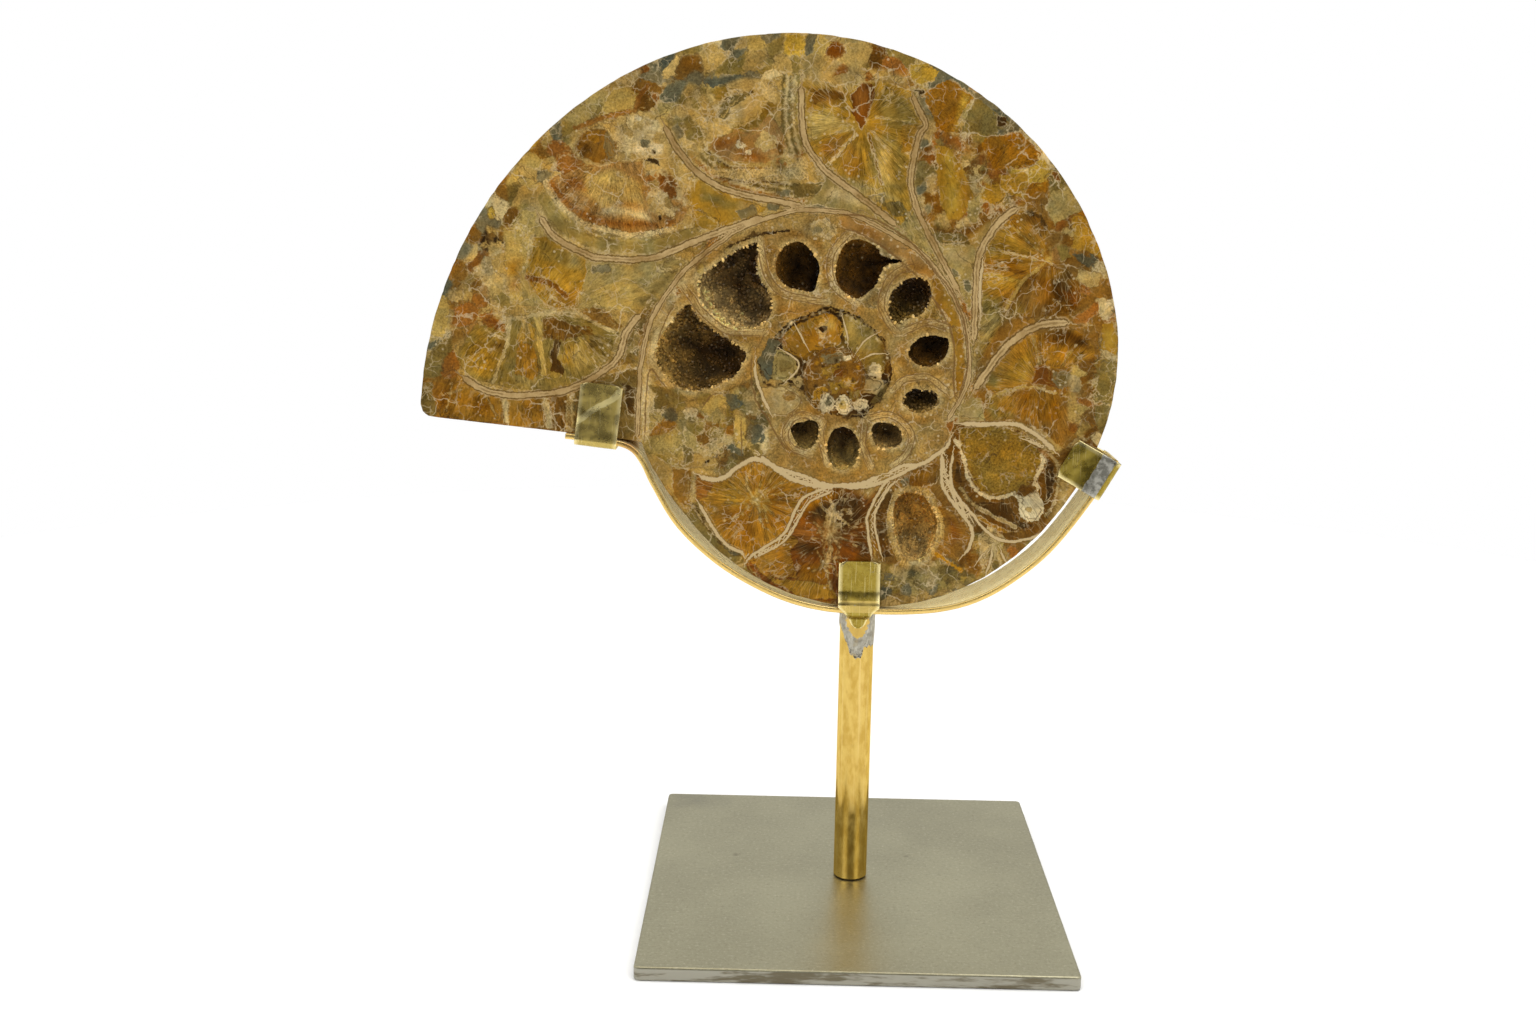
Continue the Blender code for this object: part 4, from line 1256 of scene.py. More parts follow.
def lay_living_chamber(face):
    """The open end: long slabs of crystal side by side, with dark moss-coloured stone at the left clip."""
    face.draw("""
pieces 0.4 1 0.3
oak w1 -63.5,150 -64,131 -70,131 -100,136 -128,138 -125,150
fan 0.8 18 -96,185
pieces 0.4 0.9
honey -120,149.5 -114,149 -102.5,146 -103,138 -120,139.5
moss -127,148 -122,149.5 -121,140 -127,139
cream -102.5,146 -101,145.5 -100.5,138 -102,138
honey -100.5,145.5 -90.5,145.5 -90.5,137 -100.5,137
cream -90.5,146 -89,146 -88.5,137 -90,137
brown -88,145.5 -84,146.5 -84,136 -87.5,136
sugar -84,147 -82,146.5 -82,136 -84,136
pieces 0.4 0.75
moss -82,147 -76,150 -70,154.5 -67,160 -66.5,166 -64,168 -63.5,150 -64,133 -82,135
pieces 0.8 0.5
brown -121,149 -116,149 -117,141 -121,141
amber -112,147 -104,145 -104,140 -110,140
bands 0.6 0.3 0.6
cream -119,146 -113,147.5
cream -107,146 -104,140
cream -116.5,149 -118,141
bands 1.6 0.5 0.75
tan -79,150.5 -73,153 -64.5,155
tan -69,157.5 -65.5,160 -64,163
pieces 0.4 0.8
dark -68,150 -64.5,148.5 -64.5,141 -66.5,141.5
""")


def lay_first_chamber(face):
    """Between walls 1 and 2, the largest: fans of olive and amber crystal round broken pieces."""
    face.draw("""
pieces 0.4 0.95 0.7
tan w1 -58.5,171 -54.5,177 -44,190 -52,188 -64,184.5 -76,185 -87.5,191 -95,196 -108,186 -114,168 -116,160
with rust -108,173 oak -113,179 cream -106,182 flesh -103,178 tan -101,183 mud -102,172.5
of tan flesh sugar rose cream oak rust tan
rubble 3 57 cream 0.85 -116,160 -117,174 -109,188 -100,194 -95,190 -97,178 -100,170 -110,163
pieces 0.5 0.95 0.15
olive -114.5,157.5 -113.5,153 -109,150 -97,147.5 -88,147.5 -80,150.5 -74,154 -69,164 -74,167.5 -90,169
-101,167 -110,165
fan 1 13 -95,173
fan 1 11 -86,170 -90.5,169 -84,168.5 -70,160 -70,152 -85,149 -89,152
pieces 0.9 0.7
gold -113,158 -108,164 -103,162 -103,155 -106,150 -111,152
pale -99,152 -91,151 -91,149 -99,149
gold -84,163 -78,157 -82,153 -86,156
straw -80,163 -77,155 -81,152 -83,158
brown -105,160 -101,162 -101,157
pieces 0.4 0.9
rust -108.5,168.5 -105.5,169 -101,166 -100.5,163 -107,165.5
ember -107,167 -103.5,167 -102,164.5
rust -116,166 -115,170 -111,172 -108,170 -109.5,166.5 -113.5,164.5
honey -99,152.5 -97,161 -93,160.5 -91.5,153 -93.5,150.5
gold -98,161 -92.5,161.5 -93,166.5 -97,165
straw -92.5,168 -91,168 -89.5,152 -91,150.5
brown -90.5,168 -87,168 -83,166 -77,166 -76.5,163.5 -85,162 -90.5,162
dark -90,164 -87.5,162 -88.5,157 -88.5,153 -85,152 -84.5,154 -87,156.5 -85.5,161
moss -77.5,163.5 -74.5,162.5 -73.5,160.5 -77,160
oak -80,170 -75.5,172 -67.5,165.5 -71,165 -79,168.5
bands 1.1 0.4 0.75
cream -104.5,149.5 -103,154.5 -101,159 -99.5,168
cream -104,169 -98,167.5 -86,170 -80.5,169.5 -75.5,166.5 -70.5,164.5
flesh -96,167 -94.5,162.5 -95.5,167
bands 0.5 0.3 0.6
cream -108.5,166.5 -104.5,163 -101,161.5
cream -79,163 -75.5,154.5
pieces 0.5 0.95 0.25
pale -99,176 -96,181 -93,186 -95,196 -83,188.5 -76,186 -66,185 -58,186 -49,184 -56,176 -60,172 -66,170
-79,171 -90,170.5 -97,171.5
fan 0.7 12 -91,166
pieces 0.4 0.9
straw -101.5,192.5 -97,193 -95.5,198 -91.5,197 -92.5,187.5 -97,178 -95.5,173 -99.5,172 -100.5,184
straw -78.5,172 -75.5,176 -70,178.5 -64,177.5 -59.5,174.5 -62.5,170.5 -69,170.5
brown -101.5,194.5 -99,193 -96.5,197.5 -98.5,199.5
grey -77,183 -72,183 -71,181 -76.5,181
pieces 0.8 0.6
honey -100,183 -96,184 -97,179 -100.5,179
rose -100,178 -96,180 -97,175 -100,175
of umber dark oak brown tan
rubble 1.6 58 tan 0.95 -108,187.5 -105.5,193 -101,191.5 -100.5,187.5 -104.5,185
pieces 0.35 1 0.1
gold -92.5,190 -89,190 -84,187.5 -78.5,184.5 -78,180.5 -81,172 -85,170.5 -90,172 -95,179 -93,186.5
fan 0.9 13 -99,162
pieces 0.9 0.7
olive -92,190 -84,188 -79,185 -85,182.5 -92,184.5
pale -84,187 -79,185 -79,181 -83,182
honey -84,176 -79,176 -81,171 -86,170 -91,172
bands 1.4 0.5 0.75
ember -94.5,179 -89,177.8 -83.5,174
bands 0.5 0.3 0.7
cream -96,180 -94,185 -93,190.5
straw -92,176.5 -84,171.5
pieces 0.4 0.6
cream -58,183 -52,186 -49,183.5 -52,181 -58,181
mud -58,183 -52,185 -50,183.5 -53,181.5
moss -50,190 -44.5,189.5 -45.5,186.5 -51,187
moss -66.5,166.5 -63.5,168.5 -59.5,174 -57.5,173 -63,164.5
bands 1.8 0.6 0.5
moss -62.5,172 -58.5,176.5 -53.5,181
pieces 0.4 0.9
straw -122,162 -119.5,174 -117,173.5 -116.5,168.5 -118.5,161.5
mud -123.5,153 -120,160.5 -116.5,160 -118.5,156.5 -121.5,152.5
rust -119.5,151 -118.5,156.5 -115.5,158.5 -114,154.5 -115.5,150.5
""")


def lay_second_chamber(face):
    """Between walls 2 and 3: agate bands round a rusty core, with broken crystal above it."""
    face.draw("""
pieces 0.4 0.9 0.5
flesh w2 -20,199 -w3 -60,228 -70,226 -80,219 -88,212 -95,203
with straw -93,211 -98,207 mud -83,220 pale -78,224 grey -89,207 tan -96,202 slate -86,219 rust -87,214
of mud tan pale sugar moss oak tan
rubble 3.2 71 sugar 1 -62,236 -74,231 -84,224 -93,214 -100,205 -99,198 -92,200 -84,212 -80,220 -70,223
pieces 0.35 1 0.1
pale -91,201 -88,205 -84,200 -78,195.5 -70,192 -60,190.5 -50,193 -47,190 -55,187 -66,185.5 -76,186.5
-84,190 -89,195
bands 3 0.4 0.5
olive -89.5,200.5 -86.5,195.5 -82,191.5 -76,189 -69,188 -61,188 -48,192
bands 0.7 0.25 0.7
cream -90.5,197 -87,192 -81,188.5 -74,186.5 -66,186 -58,186.5 -51,189
straw -88,201 -84,196 -77,191.5 -69,190 -61,189.5
pieces 0.4 1 0.6
rose -89,204 -86,199 -81,195 -76,192.5 -70,191.5 -57,191.5 -52,195 -50,199 -52,204 -56,208 -62,211
-70,211 -84,208.5
fan 0.9 14 -69,216
bands 1.6 0.5 0.95 0.9
cream -89,205 -86.5,200.5 -82,196 -77,193.5 -71,192 -64,191 -54.5,193
bands 2 0.6 0.85
rust -87,204.5 -84,200.5 -79.5,197 -75,195 -69,194 -59,194
pieces 0.7 0.8
tan -78,208 -70,209 -62,205 -62,199 -68,200 -74,198 -80,203
cream -75,197 -71,199 -61,198 -60,195 -68,196
rust -84,206.5 -79,206 -78,203 -84,202.5
straw -76,207 -71,208 -70,205 -74,205
with ember -54.5,203.5 -57,206 cream -60,208 flesh -59,199
of flesh rust cream tan rose cream
rubble 2.2 72 chalk 0.9 -62,211 -56,209 -50,202 -51,196 -56,193.5 -60,196 -62,202
pieces 0.35 0.9
umber -86.5,209.5 -83.5,208 -87,208
umber -61.5,211.5 -60.5,212.5 -58,211.5 -58,209.8
umber -58.5,197 -57,196.5 -57.5,194.5
rust -86,213 -83,215 -77.5,210 -83.5,207 -86.5,209.5
with cream -64,218 sugar -61,221
of cream flesh chalk sugar tan cream
rubble 2.4 73 chalk 0.95 -69,211 -57,213 -56,219 -60,224 -73,221.5 -70,218
pieces 0.35 0.85
slate -63.5,217 -61,216.5 -60.5,214.5 -63,214.5
umber -60.5,214.5 -58,214 -59,213
pieces 0.3 1 0.1
oak -79.5,218 -76.5,219.5 -72.5,219.5 -69.5,216 -69.5,212.5 -71,210.5 -75,210 -81,213.5 -81,216
fan 0.8 8 -72,221
pieces 0.4 0.8
grey -72.5,219.5 -70,216 -69.5,212.5 -71.5,211 -73,214
brown -80,216 -76,214 -77,211.5 -80.5,213.5
honey -78.5,218.5 -74,219.5 -74,216 -77,216
bands 0.6 0.3 0.6
cream -79.5,218 -76.5,219.5 -72.5,219.5 -69.5,216 -69.5,212.5 -71,210.5 -75,210 -81,213.5 -79.5,218
cream -87,215.5 -81,218.5 -77,221 -71,221.5
sugar -88,208 -84,212.5 -78,211
pieces 0.35 0.95
straw -74.5,222.5 -65.5,224.5 -63.5,229 -66.5,230.5 -71,230
brown -64.5,225 -63,229.5 -61.5,230 -58.5,226 -61,224.5
pale -80.5,219.5 -75.5,222.5 -74.5,226 -77.5,227 -83,222.5
bands 1.3 0.5 0.7
rust -81,219.5 -76,221.5 -71,223 -66,224
rust -64.5,224.5 -63.5,228 -61.5,230.5
pieces 0.4 0.95 0.2
gold -50,203 -48,194 -44,192.5 -36,195.5 -28,198.5 -32,200.5 -41,203 -47,206.5
pieces 0.6 0.7
olive -47,205 -42,202 -34,200 -40,198 -46,201
flesh -36,201 -30,200 -31,198 -37,198
pieces 0.4 0.85
grey -37,198 -31.5,200 -30.5,197.5 -35.5,196
slate -28.5,200 -25,199.8 -25.5,198.3 -28,198.3
bands 0.5 0.3 0.6
cream -50,201 -44,196 -40,193.5
""")


def lay_third_chamber(face):
    """Between walls 3 and 4: close agate bands below, a red nodule, and grey mud above."""
    face.draw("""
pieces 0.4 1 0.5
tan w3 -12,206 -16.5,212 -18.5,220 -19.5,230 -24,234 -42,231 -50,226
fan 0.4 12 -30,228
""")
    base = smooth_line("-55.5,223 -52,216 -48,210.6 -42,206.4 -34,203.4 -26,201.9 -18,200.8")
    toward = np.array([-33.0, 224.0]) - base
    toward /= np.hypot(*toward.T)[:, None]
    agate = [("rust", 0.9, 0.6), ("cream", 0.6, 1.4), ("moss", 1.2, 2.4), ("cream", 0.5, 3.4),
             ("olive", 0.9, 4.1), ("dark", 0.3, 4.7), ("cream", 0.5, 5.2)]
    for colour, width, inset in agate:
        face.band(colour, width, (base + toward * inset)[::4], 0.25, 0.9, 0.1)
    face.draw("""
with mud -49,219 flesh -52,224 tan -46,214
of tan mud flesh sugar grey tan
rubble 2.6 74 cream 0.95 -56,222 -51,214 -47,211 -45,220 -42,224 -43,230 -50,232
with flesh -35,232 -43,219 sugar -29,230
of flesh tan pale sand flesh
rubble 4 75 sugar 0.95 -45,217 -30,221 -26,226 -27,233 -36,233.5 -44,230
pieces 0.35 0.95 1
sugar -45,209.5 -30,209.5 -22,209.5 -18,213 -17,207 -31,206 -38,206.5 -44,208
bands 0.5 0.3 0.6
dark -44,207.5 -38,206.5 -31,206 -25,206
brown -42,210 -36,209.5 -24,210
of tan sugar mud rust
rubble 2 76 cream 0.9 -26,211 -21,210 -18,214 -19,222 -22,222 -25,216
pieces 0.4 0.95
moss -21,205.5 -13.5,206.5 -12.5,203.5 -21,201.5
grey -25.5,203.5 -22,204 -21.5,202 -25,202
pieces 0.35 1 0.4
rose -44.5,214.5 -43,217 -37,219.5 -33.5,219 -27.5,223.5 -24.5,220 -23.5,216 -25,213 -29,211 -40,211.5
pieces 0.6 0.75
rust -43,217 -36,218 -38,214 -43,214
rust -37,214 -31,214 -28,212 -33,211
pieces 0.3 0.95
chalk -37.5,215.5 -36,217 -33.5,215 -36,214.5
chalk -35,214 -33,214.5 -32.5,213 -34.5,213
flesh -32,216 -29.5,219.5 -26,218 -26,215.5 -29,214
brown -26,216.3 -24.6,216.8 -24.3,213.7 -25.3,213.5
pieces 0.35 0.9 0.2
flesh -43.5,221.5 -42.5,225.5 -38,230 -31,230.5 -28.5,227.5 -30.5,223.5 -35,221
pieces 0.3 0.95
moss -42.5,223 -40.5,227 -37.5,229 -33,229.5 -38.5,225 -39.5,222.5
sugar -39.5,222.5 -38,225 -31.5,228.5 -30.5,227 -35,223
bands 0.4 0.25 0.7
dark -42.5,223 -40.5,227 -37.5,229 -32,230
bands 0.5 0.3 0.6
chalk -27,224.5 -20,229.5 -11,234
chalk -28,232 -21,228 -17,226.5
""")
    stripe = spots("-24,234 -24.4,227 -24,220 -22,213.6")
    for shift, colour in ((0, "moss"), (0.9, "cream"), (1.8, "moss"), (2.8, "cream"), (3.9, "olive")):
        face.band(colour, 0.8, stripe + np.array([shift, 0]), 0.25, 0.9, 0.1)


def lay_fourth_chamber(face):
    """Between walls 4 and 5: gold crystal spreading from a brown knot near the top."""
    face.draw("""
pieces 0.4 1 0.1
gold w4 -w5 2,233 -10,234
fan 1.1 13 -3,222
pieces 0.9 0.8
straw -18,218 -18,225 -12,225 -4,221 -10,219
oak -17,226 -17,231 -9,231 -6,229 -12,227
flesh -18,232 -6,230 -4,233 2,233 9,232 9,235 -18,236
olive 2,230 9,230 12,224 11,220 4,221 1,225
olive -2,219 3,220 9,216 9,204 4,204 0,207
oak -15,216 -11,218 -6,219 -9,213 -13,212
honey -9,212 -5,219 -2,210 -6,206
straw 1,219 5,216 6,206 2,206
pale -8,208 -2,207 8,202 2,200 -5,204
pieces 0.5 0.7
brown -17,229 -14,231 -8,230 -7,228 -12,228.5 -16,226.5
honey 8,222 12.5,221.5 10.5,214 8,214
bands 0.6 0.3 0.6
straw -16,217.5 -5,220.5
straw -12,210.5 -4.5,219
brown -1,219.5 3,206
straw 0,220 8,211
straw 1,224 12,222.5
pieces 0.3 1
ember -6,229 -4.5,231 -2.5,233 -0.5,232 0.5,229.5 -2,223 -3,220 -6,225
pieces 0.8 0.7
rust -5,229 -3,231 -1,228 -2,224 -4,225
of flesh sugar tan rust
rubble 2.4 77 cream 0.95 -11,234 -10,232 -5,232 2,233 5,236 -9,237
pieces 0.5 0.95 0.3
pale 8.5,195 0,201.5 -12,209 -14,204 -17,200.5 0,197 9,192 17,186 25.5,175 22,184 12,201
pieces 0.6 0.8 0.5
cream -11,205 -6,204 -1,200 -7,201 -13,202
pieces 0.4 0.85
moss 3,200.5 8.5,201.5 10.5,198 7,197
grey -0.5,202.5 3,203.5 4,201 1,200.5
""")


def lay_fifth_chamber(face):
    """Between walls 5 and 6: yellow crystals in a rusty sugar, with shards of amber above them."""
    face.draw("""
pieces 0.4 1 0.3
tan w5 29,172 30,182 32,191 35,195.5 42,200.5 33,210 17,221 13.5,224
with slate 14.5,217 14,205 moss 14.5,211 rust 16,213 18,219.5 33.5,203.5 sugar 16.5,207
with oak 23,217 pale 28.5,199.5 grey 16,199
of rust tan oak sugar mud brown flesh
rubble 2.3 81 sugar 1 13,222 16,223 24,221 30,217 43,204 41,201 33,197 27,193 18,193 14,198 12,206
pieces 0.6 0.7
brown 15,197 19,195 25,194 40,202 38,199 27,192 19,193
rust 17,220 24,219 27,215 24,215 20,218
pieces 0.3 1 0.05
gold 17.5,213.5 17,216.5 21,216.5 25.5,210 28.5,203 26.5,198.5 24.5,196.5 21.5,196.5 19.5,200 18.5,206
fan 0.6 7 16,224
pieces 0.8 0.8
yellow 20,215 22,214 24,207 24,200 22,198 20,204
honey 24,212 26,207 28,203 26,200 25,205
pieces 0.3 1
gold 30,203 31,206.5 35,206 37.5,204.5 36,201.5 32.5,200.5
pale 27,196 27,201 29.5,203.5 30.5,200 29.5,196
moss 16,192.5 20,193.5 26,192.7 28.5,190 24,190 18,191
pale 17.5,190 23,190 29,189.5 30,184 28.5,171 26,176 19.5,186.5
pieces 0.8 0.7
sugar 20,189 27,189 29,184 21,186
pieces 0.35 0.85
slate 21.3,183 23.5,183.7 25.7,181.7 23.5,180.8
slate 26.3,180 28,180.7 29.2,178.5 28,176
pieces 0.3 1
yellow 9.5,234.5 9.5,237.5 13.5,238 17.5,236 16.5,233.5 12.5,232
amber 12,231 15,231 20.5,234 27.5,229 24.5,226 22,220 18,220 15,227
mud 28,229.5 37,222.5 31,219.5 24,220 25.5,225
dark 33.5,225 36.5,223.8 36,221.5 33.5,221.8
amber 30,217.5 32,219.5 40,220 46.5,214.5 45.5,212 40,210.5 33,210.5
yellow 42.5,211 46.5,213.5 50,210 46.5,206.5 42.5,207
gold 35,209 42,210 43.5,206.5 43,203 39,203.5 35.5,205
amber 43.5,207 48.5,207.5 49,203.5 45.5,201.5 42.5,203.5
fan 0.5 8 10,238 12,231 27,230 23,220 16,220
fan 0.7 9 28,206 30,217 44,218 46,211 33,210
pieces 0.7 0.8
yellow 24,231 27,229 24,225 23,220 22,221 23,226
pieces 0.35 0.9
umber 10.5,231 14,231 13,229
rust 49,210.5 51.5,209.5 52,207.5 50,208
""")


def lay_sixth_chamber(face):
    """Between walls 6 and 7: two great fans of honey-coloured crystal."""
    face.draw("""
pieces 0.4 0.95 0.5
oak w6 30,150 -w7 63,171 62,184 60,192 54,201 47,205 42,202
pieces 0.35 1 0.1
honey 31.5,170 31.5,183 32.5,189 35.5,195 39.5,198.5 43,200 47,199 49.5,195 48.5,191 49.5,186.5 41.5,179.5
36.5,171.5 38,169 31.5,158
fan 1.1 12 50.5,186
pieces 0.9 0.8
gold 32,186 34,192 38,196 41,191 45,188 38,186
brown 40,198 44,200 49,198 49,194 46,192 44,196
amber 32,186 40,186 44,184 38,182.5 32,183
gold 32,182 43,180 41,178 36,177.5 32,178.5
olive 31,177 37,176 38,170 34,163 31,158
pale 31,170 36,172 37,168 33,162 31,156
bands 1 0.4 0.7
yellow 31.5,182 36,181.5 42.5,180
dark 43,199.3 46,198.3 48,195.5
brown 32.5,184 38,183.5 43.5,182.5
bands 0.5 0.3 0.6
straw 44,193.5 49.5,186.5
straw 39,195.5 48,187.5
straw 34,189 47,186
pieces 0.35 1 0.1
brown 38.5,170 40,175 42.5,180 46,183.5 50.5,185 55,183.5 58.5,180.5 59.5,176.5 58,171.5 45,170
fan 1 11 50,191
pieces 0.9 0.7
oak 40,175 43,180 48,183 50,176 47,171 41,170
olive 39,170 41,176 45,171
dark 51.5,181.5 56.5,179 56.5,174.5 51.5,175.5
honey 46,183 52,184 55,183 50,180
ember 53,178 59,178 58,173
bands 0.9 0.4 0.85
straw 38.5,172.5 40.5,176.5 43.5,181 50.5,187
straw 50.5,185 50,189
bands 0.4 0.3 0.6
cream 51.5,175.5 57.5,172
with flesh 61,181 cream 66,173 oak 60,175 64,166 rust 61,171.5
of rust oak brown tan rose oak
rubble 3 61 sugar 1 58.5,183 64,183 66,177 66,168 63,160 58,166 57,171 59.5,175.5
with oak 51,192 rust 52.5,196 tan 56,193
of rust oak brown tan rose
rubble 2.6 62 sugar 1 49,199 52,201 58,196 59,190 55,186 50.5,186
pieces 0.4 0.95
gold 55.5,193.5 55.5,198.5 58.5,198 62.5,192.5 64.5,187 56,189.5
pale 48,200.5 50,205.5 54,205.5 58.5,200 50.5,196
slate 55,189 63.5,186 61,184.3 57.8,186.3
olive 52,189.5 54.5,190 56,187 53.5,186
flesh 58.5,184 64.5,182.5 63.5,179.5 60.5,178.5 57.5,181.5
cream 65,171.5 67,175 68,171.5 66.5,169.5
pieces 0.5 0.85 0.3
pale 30,176 30,166 31,158 30,149.5 29,158
seam 0.7 31.5,186 31,178 31.5,170
bands 0.8 0.3 0.9
ochre 32.5,191.5 34.5,194.5 37,197
pieces 0.35 0.95 0.1
gold 65.5,168.5 68.5,170.5 70.5,160.5 65,162.5
pieces 0.8 0.6
yellow 66,167 69,168 70,162 67,163
""")


def lay_seventh_chamber(face):
    """Between walls 7 and 8: fans that meet on a red-brown seed crystal."""
    face.draw("""
pieces 0.4 0.95 0.4
oak w7 w8 60,137 66,141 66.5,150 64,168
pieces 0.35 1 0.1
honey 33,150.5 35.5,155 39.5,161 44.5,165 53,168 58.5,167 62.5,163.5 64,160 60,156.5 52.5,156.5 47.5,157
47,152.5 36.5,148.5
fan 1.1 13 50,151
pieces 0.8 0.8
gold 39,153 42,158 46,162 47,156 45,152
olive 33,151 35,155 38,153 37,150
brown 48,167 53,168 58,167 64,161 60,162 50,163
dark 55,167 62,164 62,162 57,164
bands 0.6 0.3 0.7
brown 47.5,166 49.5,157.5
straw 46.5,165 48.5,157.5
straw 58.5,163 55,157.5
pieces 0.35 1 0.1
oak 34,149 37,147.5 41,149.5 46,150.5 52,150 55.5,149 57.5,143 58.5,138 55,134.5 47,139.5 42,140.5
33.5,142
fan 1.1 16 49,158
pieces 0.8 0.75
amber 44,150 54,149 56,143 50,140 44,142
olive 34,148 41,149 42,142 36,141
honey 36,147 42,149 43,144 38,143
bands 0.7 0.35 0.85
straw 35.5,148 40.5,150 46,151 56,149
pieces 0.35 0.95
ember 47.5,156.5 50,157 52.5,156 52.5,153 54.5,151.5 47,151.5
grey 53,155.5 57.5,155.5 57.5,151.5 54.5,151 52.5,153
moss 54.5,154.5 56.5,154 56,152 54.5,152.5
brown 59.5,154.5 62.5,153 61.5,151 59,151
with straw 60,155 cream 58.5,152.5 rust 62,147
of oak rust tan brown straw oak
rubble 2.6 63 sugar 0.9 57.5,157 64,160 66,150 65,141 61,137 58,139 57,146
pieces 0.35 1 0.2
pale 26.5,140.5 27,145.5 30,148 32.5,147.5 34.5,141
pieces 0.8 0.7
sugar 27,141 28,145 31,143 32,141
pieces 0.4 0.9
mud 64,159 67,159.5 70.5,158 70.5,150 69,146.5 64.5,146.5
mud 64.5,146 69.5,146 68,139 65.5,139.5
ovals 0.4 0.85
olive 66.8,152 4,7 5
""")


def lay_eighth_chamber(face):
    """Between walls 8 and 9: a ball of fine sand, ringed with white, in brown layers."""
    face.draw("""
pieces 0.5 1 0.15
brown w8 58,133 64,137 70,130 60,112 50,100 38,93 28,92 28,100 -w9
fan 0.8 13 40,128
pieces 0.4 0.8
dark 27,133 28,122 32,118 42,117.5 45,112.5 50,111.5 46,110.5 34,115 26,124
pieces 0.4 0.95
honey 27.5,119 31,115.5 36,112 42,109.7 48,109.7 40,108.8 33,112.8
dark 52,131 54,129.5 54.5,126 54,121 52.5,118
tan 36,139.5 44,138.5 54,132.5 56,134 50,139 42,141.5
pieces 0.8 0.8
flesh 55,130 58,129 61,124 60,118 56,113 53,112 56,119
brown 60,131 64,128 66,123 62,118
bands 0.8 0.35 0.7
cream 50.5,131.5 52.5,132 55,129.5 55.5,124 55,118.5 52.5,114
cream 37,139 45,137 51.5,133.5
bands 1 0.4 0.85
rust 40,137.5 47,135 52,131.5
sugar 28,121.5 31,118 35,115 44,111
pieces 0.35 1 1
sand 26.5,139 33,140 39,139.5 45,137 49.5,133.5 51,130.5 48.5,124 45,121 41.5,119.5 37.5,119.5 34,121
31.5,123.5 30,127.5
fan 0 1 0,0
bands 1.1 0.35 0.85
chalk 26,135.5 27.5,133.5 29,129.5 29.5,126 31.5,122.5 34.5,120 38,119 44,120.5
chalk 49,119.5 50,122 49,124 51,129 50.5,131.5
pieces 0.3 1
chalk 43.5,120 45,118 44.5,116 46,113.5 48,112.5 50.5,113 52,115.5 51.5,118 50,120.5
brown 44.5,120.5 45,123 47,123 49,121.5 46,119
ovals 0.4 0.8
tan 47.6,116 1.8,1.4
with pale 39,105 rust 44,103 oak 33,98 olive 36,97
of mud oak olive rust tan
rubble 3.2 82 cream 1 30,110 42,106 50,107 55,111 52,103 42,95 30,93
pieces 0.4 0.85
cream 33.5,107.5 36,110.5 42,107.5 39,105 41,100 37,103.5 35.5,97
brown 30,100.5 31.3,103 32.3,101 32,98.5
""")


def lay_ninth_chamber(face):
    """Between walls 9 and 10: brown layers round a hollow, with mud and grey matrix below."""
    face.draw("""
pieces 0.5 1 0.35
oak w9 27,96 4,96 -w10 w12e
fan 0.6 11 15,111
pieces 0.5 0.75
dark 5,119 8,121.5 10,120 8,113 8,105 9,101 6.5,101 4.5,106 4,113
pieces 0.5 0.95
oak 20.5,119.5 27,114 32,105 29.5,101.5 24,102.5 23,112
brown 11.5,124.5 16,127.5 21,129 21,123 17,121.5 12,122.5
pieces 0.8 0.6
ember 24.5,114 27.5,111 28.5,107 26,105
honey 14,126 21,128 21,125 16,123
pieces 0.35 0.95
slate 11,124 13.5,124.5 14,121.5 11.5,121.5
oak 23.5,123.5 26,121 25.5,118.5 23.5,120
bands 1.5 0.5 0.85 1
flesh 10,120.5 13,121.5 18.5,120.5 21,117 23,112 23,107.5 21,103.5 18.5,100 13.5,99 10.5,102 8,112 10,120.5
with pale 11,96.5 sugar 17,98 grey 14,92 slate 8,91 cream 21,95
of mud olive grey tan pale moss sugar
rubble 2.6 33 mud 1 3,101 8,99 19,99.5 25,101.5 30,98 35,94 28,88 5,85
pieces 0.4 0.85
sugar 8.5,98.5 11,99 14,96.5 13,93.5 9,96
cream 14,99.8 20,100.2 22,98.7 17,98
bands 1 0.35 1
ochre 21.5,102.5 24,101 29,97.5
""")


def lay_tenth_chamber(face):
    """Between walls 10 and 11: deep red-brown, with white feathers of crystal down its middle."""
    face.draw("""
pieces 0.5 1 0.1
ember w11 -28,92 -15,87 5,86 3.5,100 -w10 0,122.5
fan 1.1 12 -8.5,107
pieces 1 0.6
dark -14,117 -6,120 0,119 1,111 -3,108 -8,109 -16,111
dark -2,108 2,109 3,100 -1,99
dark -20,105 -12,106 -9,101 -16,100
pieces 1 0.85
amber -19,116 -10,120 -4,120 -17,113
rust -19,111 -12,112 -9,107 -16,105 -20,107
amber -18,98 -10,99 -8,93 -18,92
brown -1,100 3,100 4,92 -1,90
tan -2,120 2,122 5,124 4,120 2,118
pieces 0.5 0.9
honey -32,100 -26,104 -21,108.5 -18,105 -20,102 -18,94.5 -27,94.5
gold -27,94.5 -18,93.5 -8,92.5 -6,88 -16,88
star sugar 13 6 -8.5,113
star cream 21 10 -8.5,107
star sugar 14 6 -9.5,99
bands 0.6 0.3 0.75
cream -9,119.5 -8,114 -9,109 -8,103 -9.5,97 -8,91.5
""")


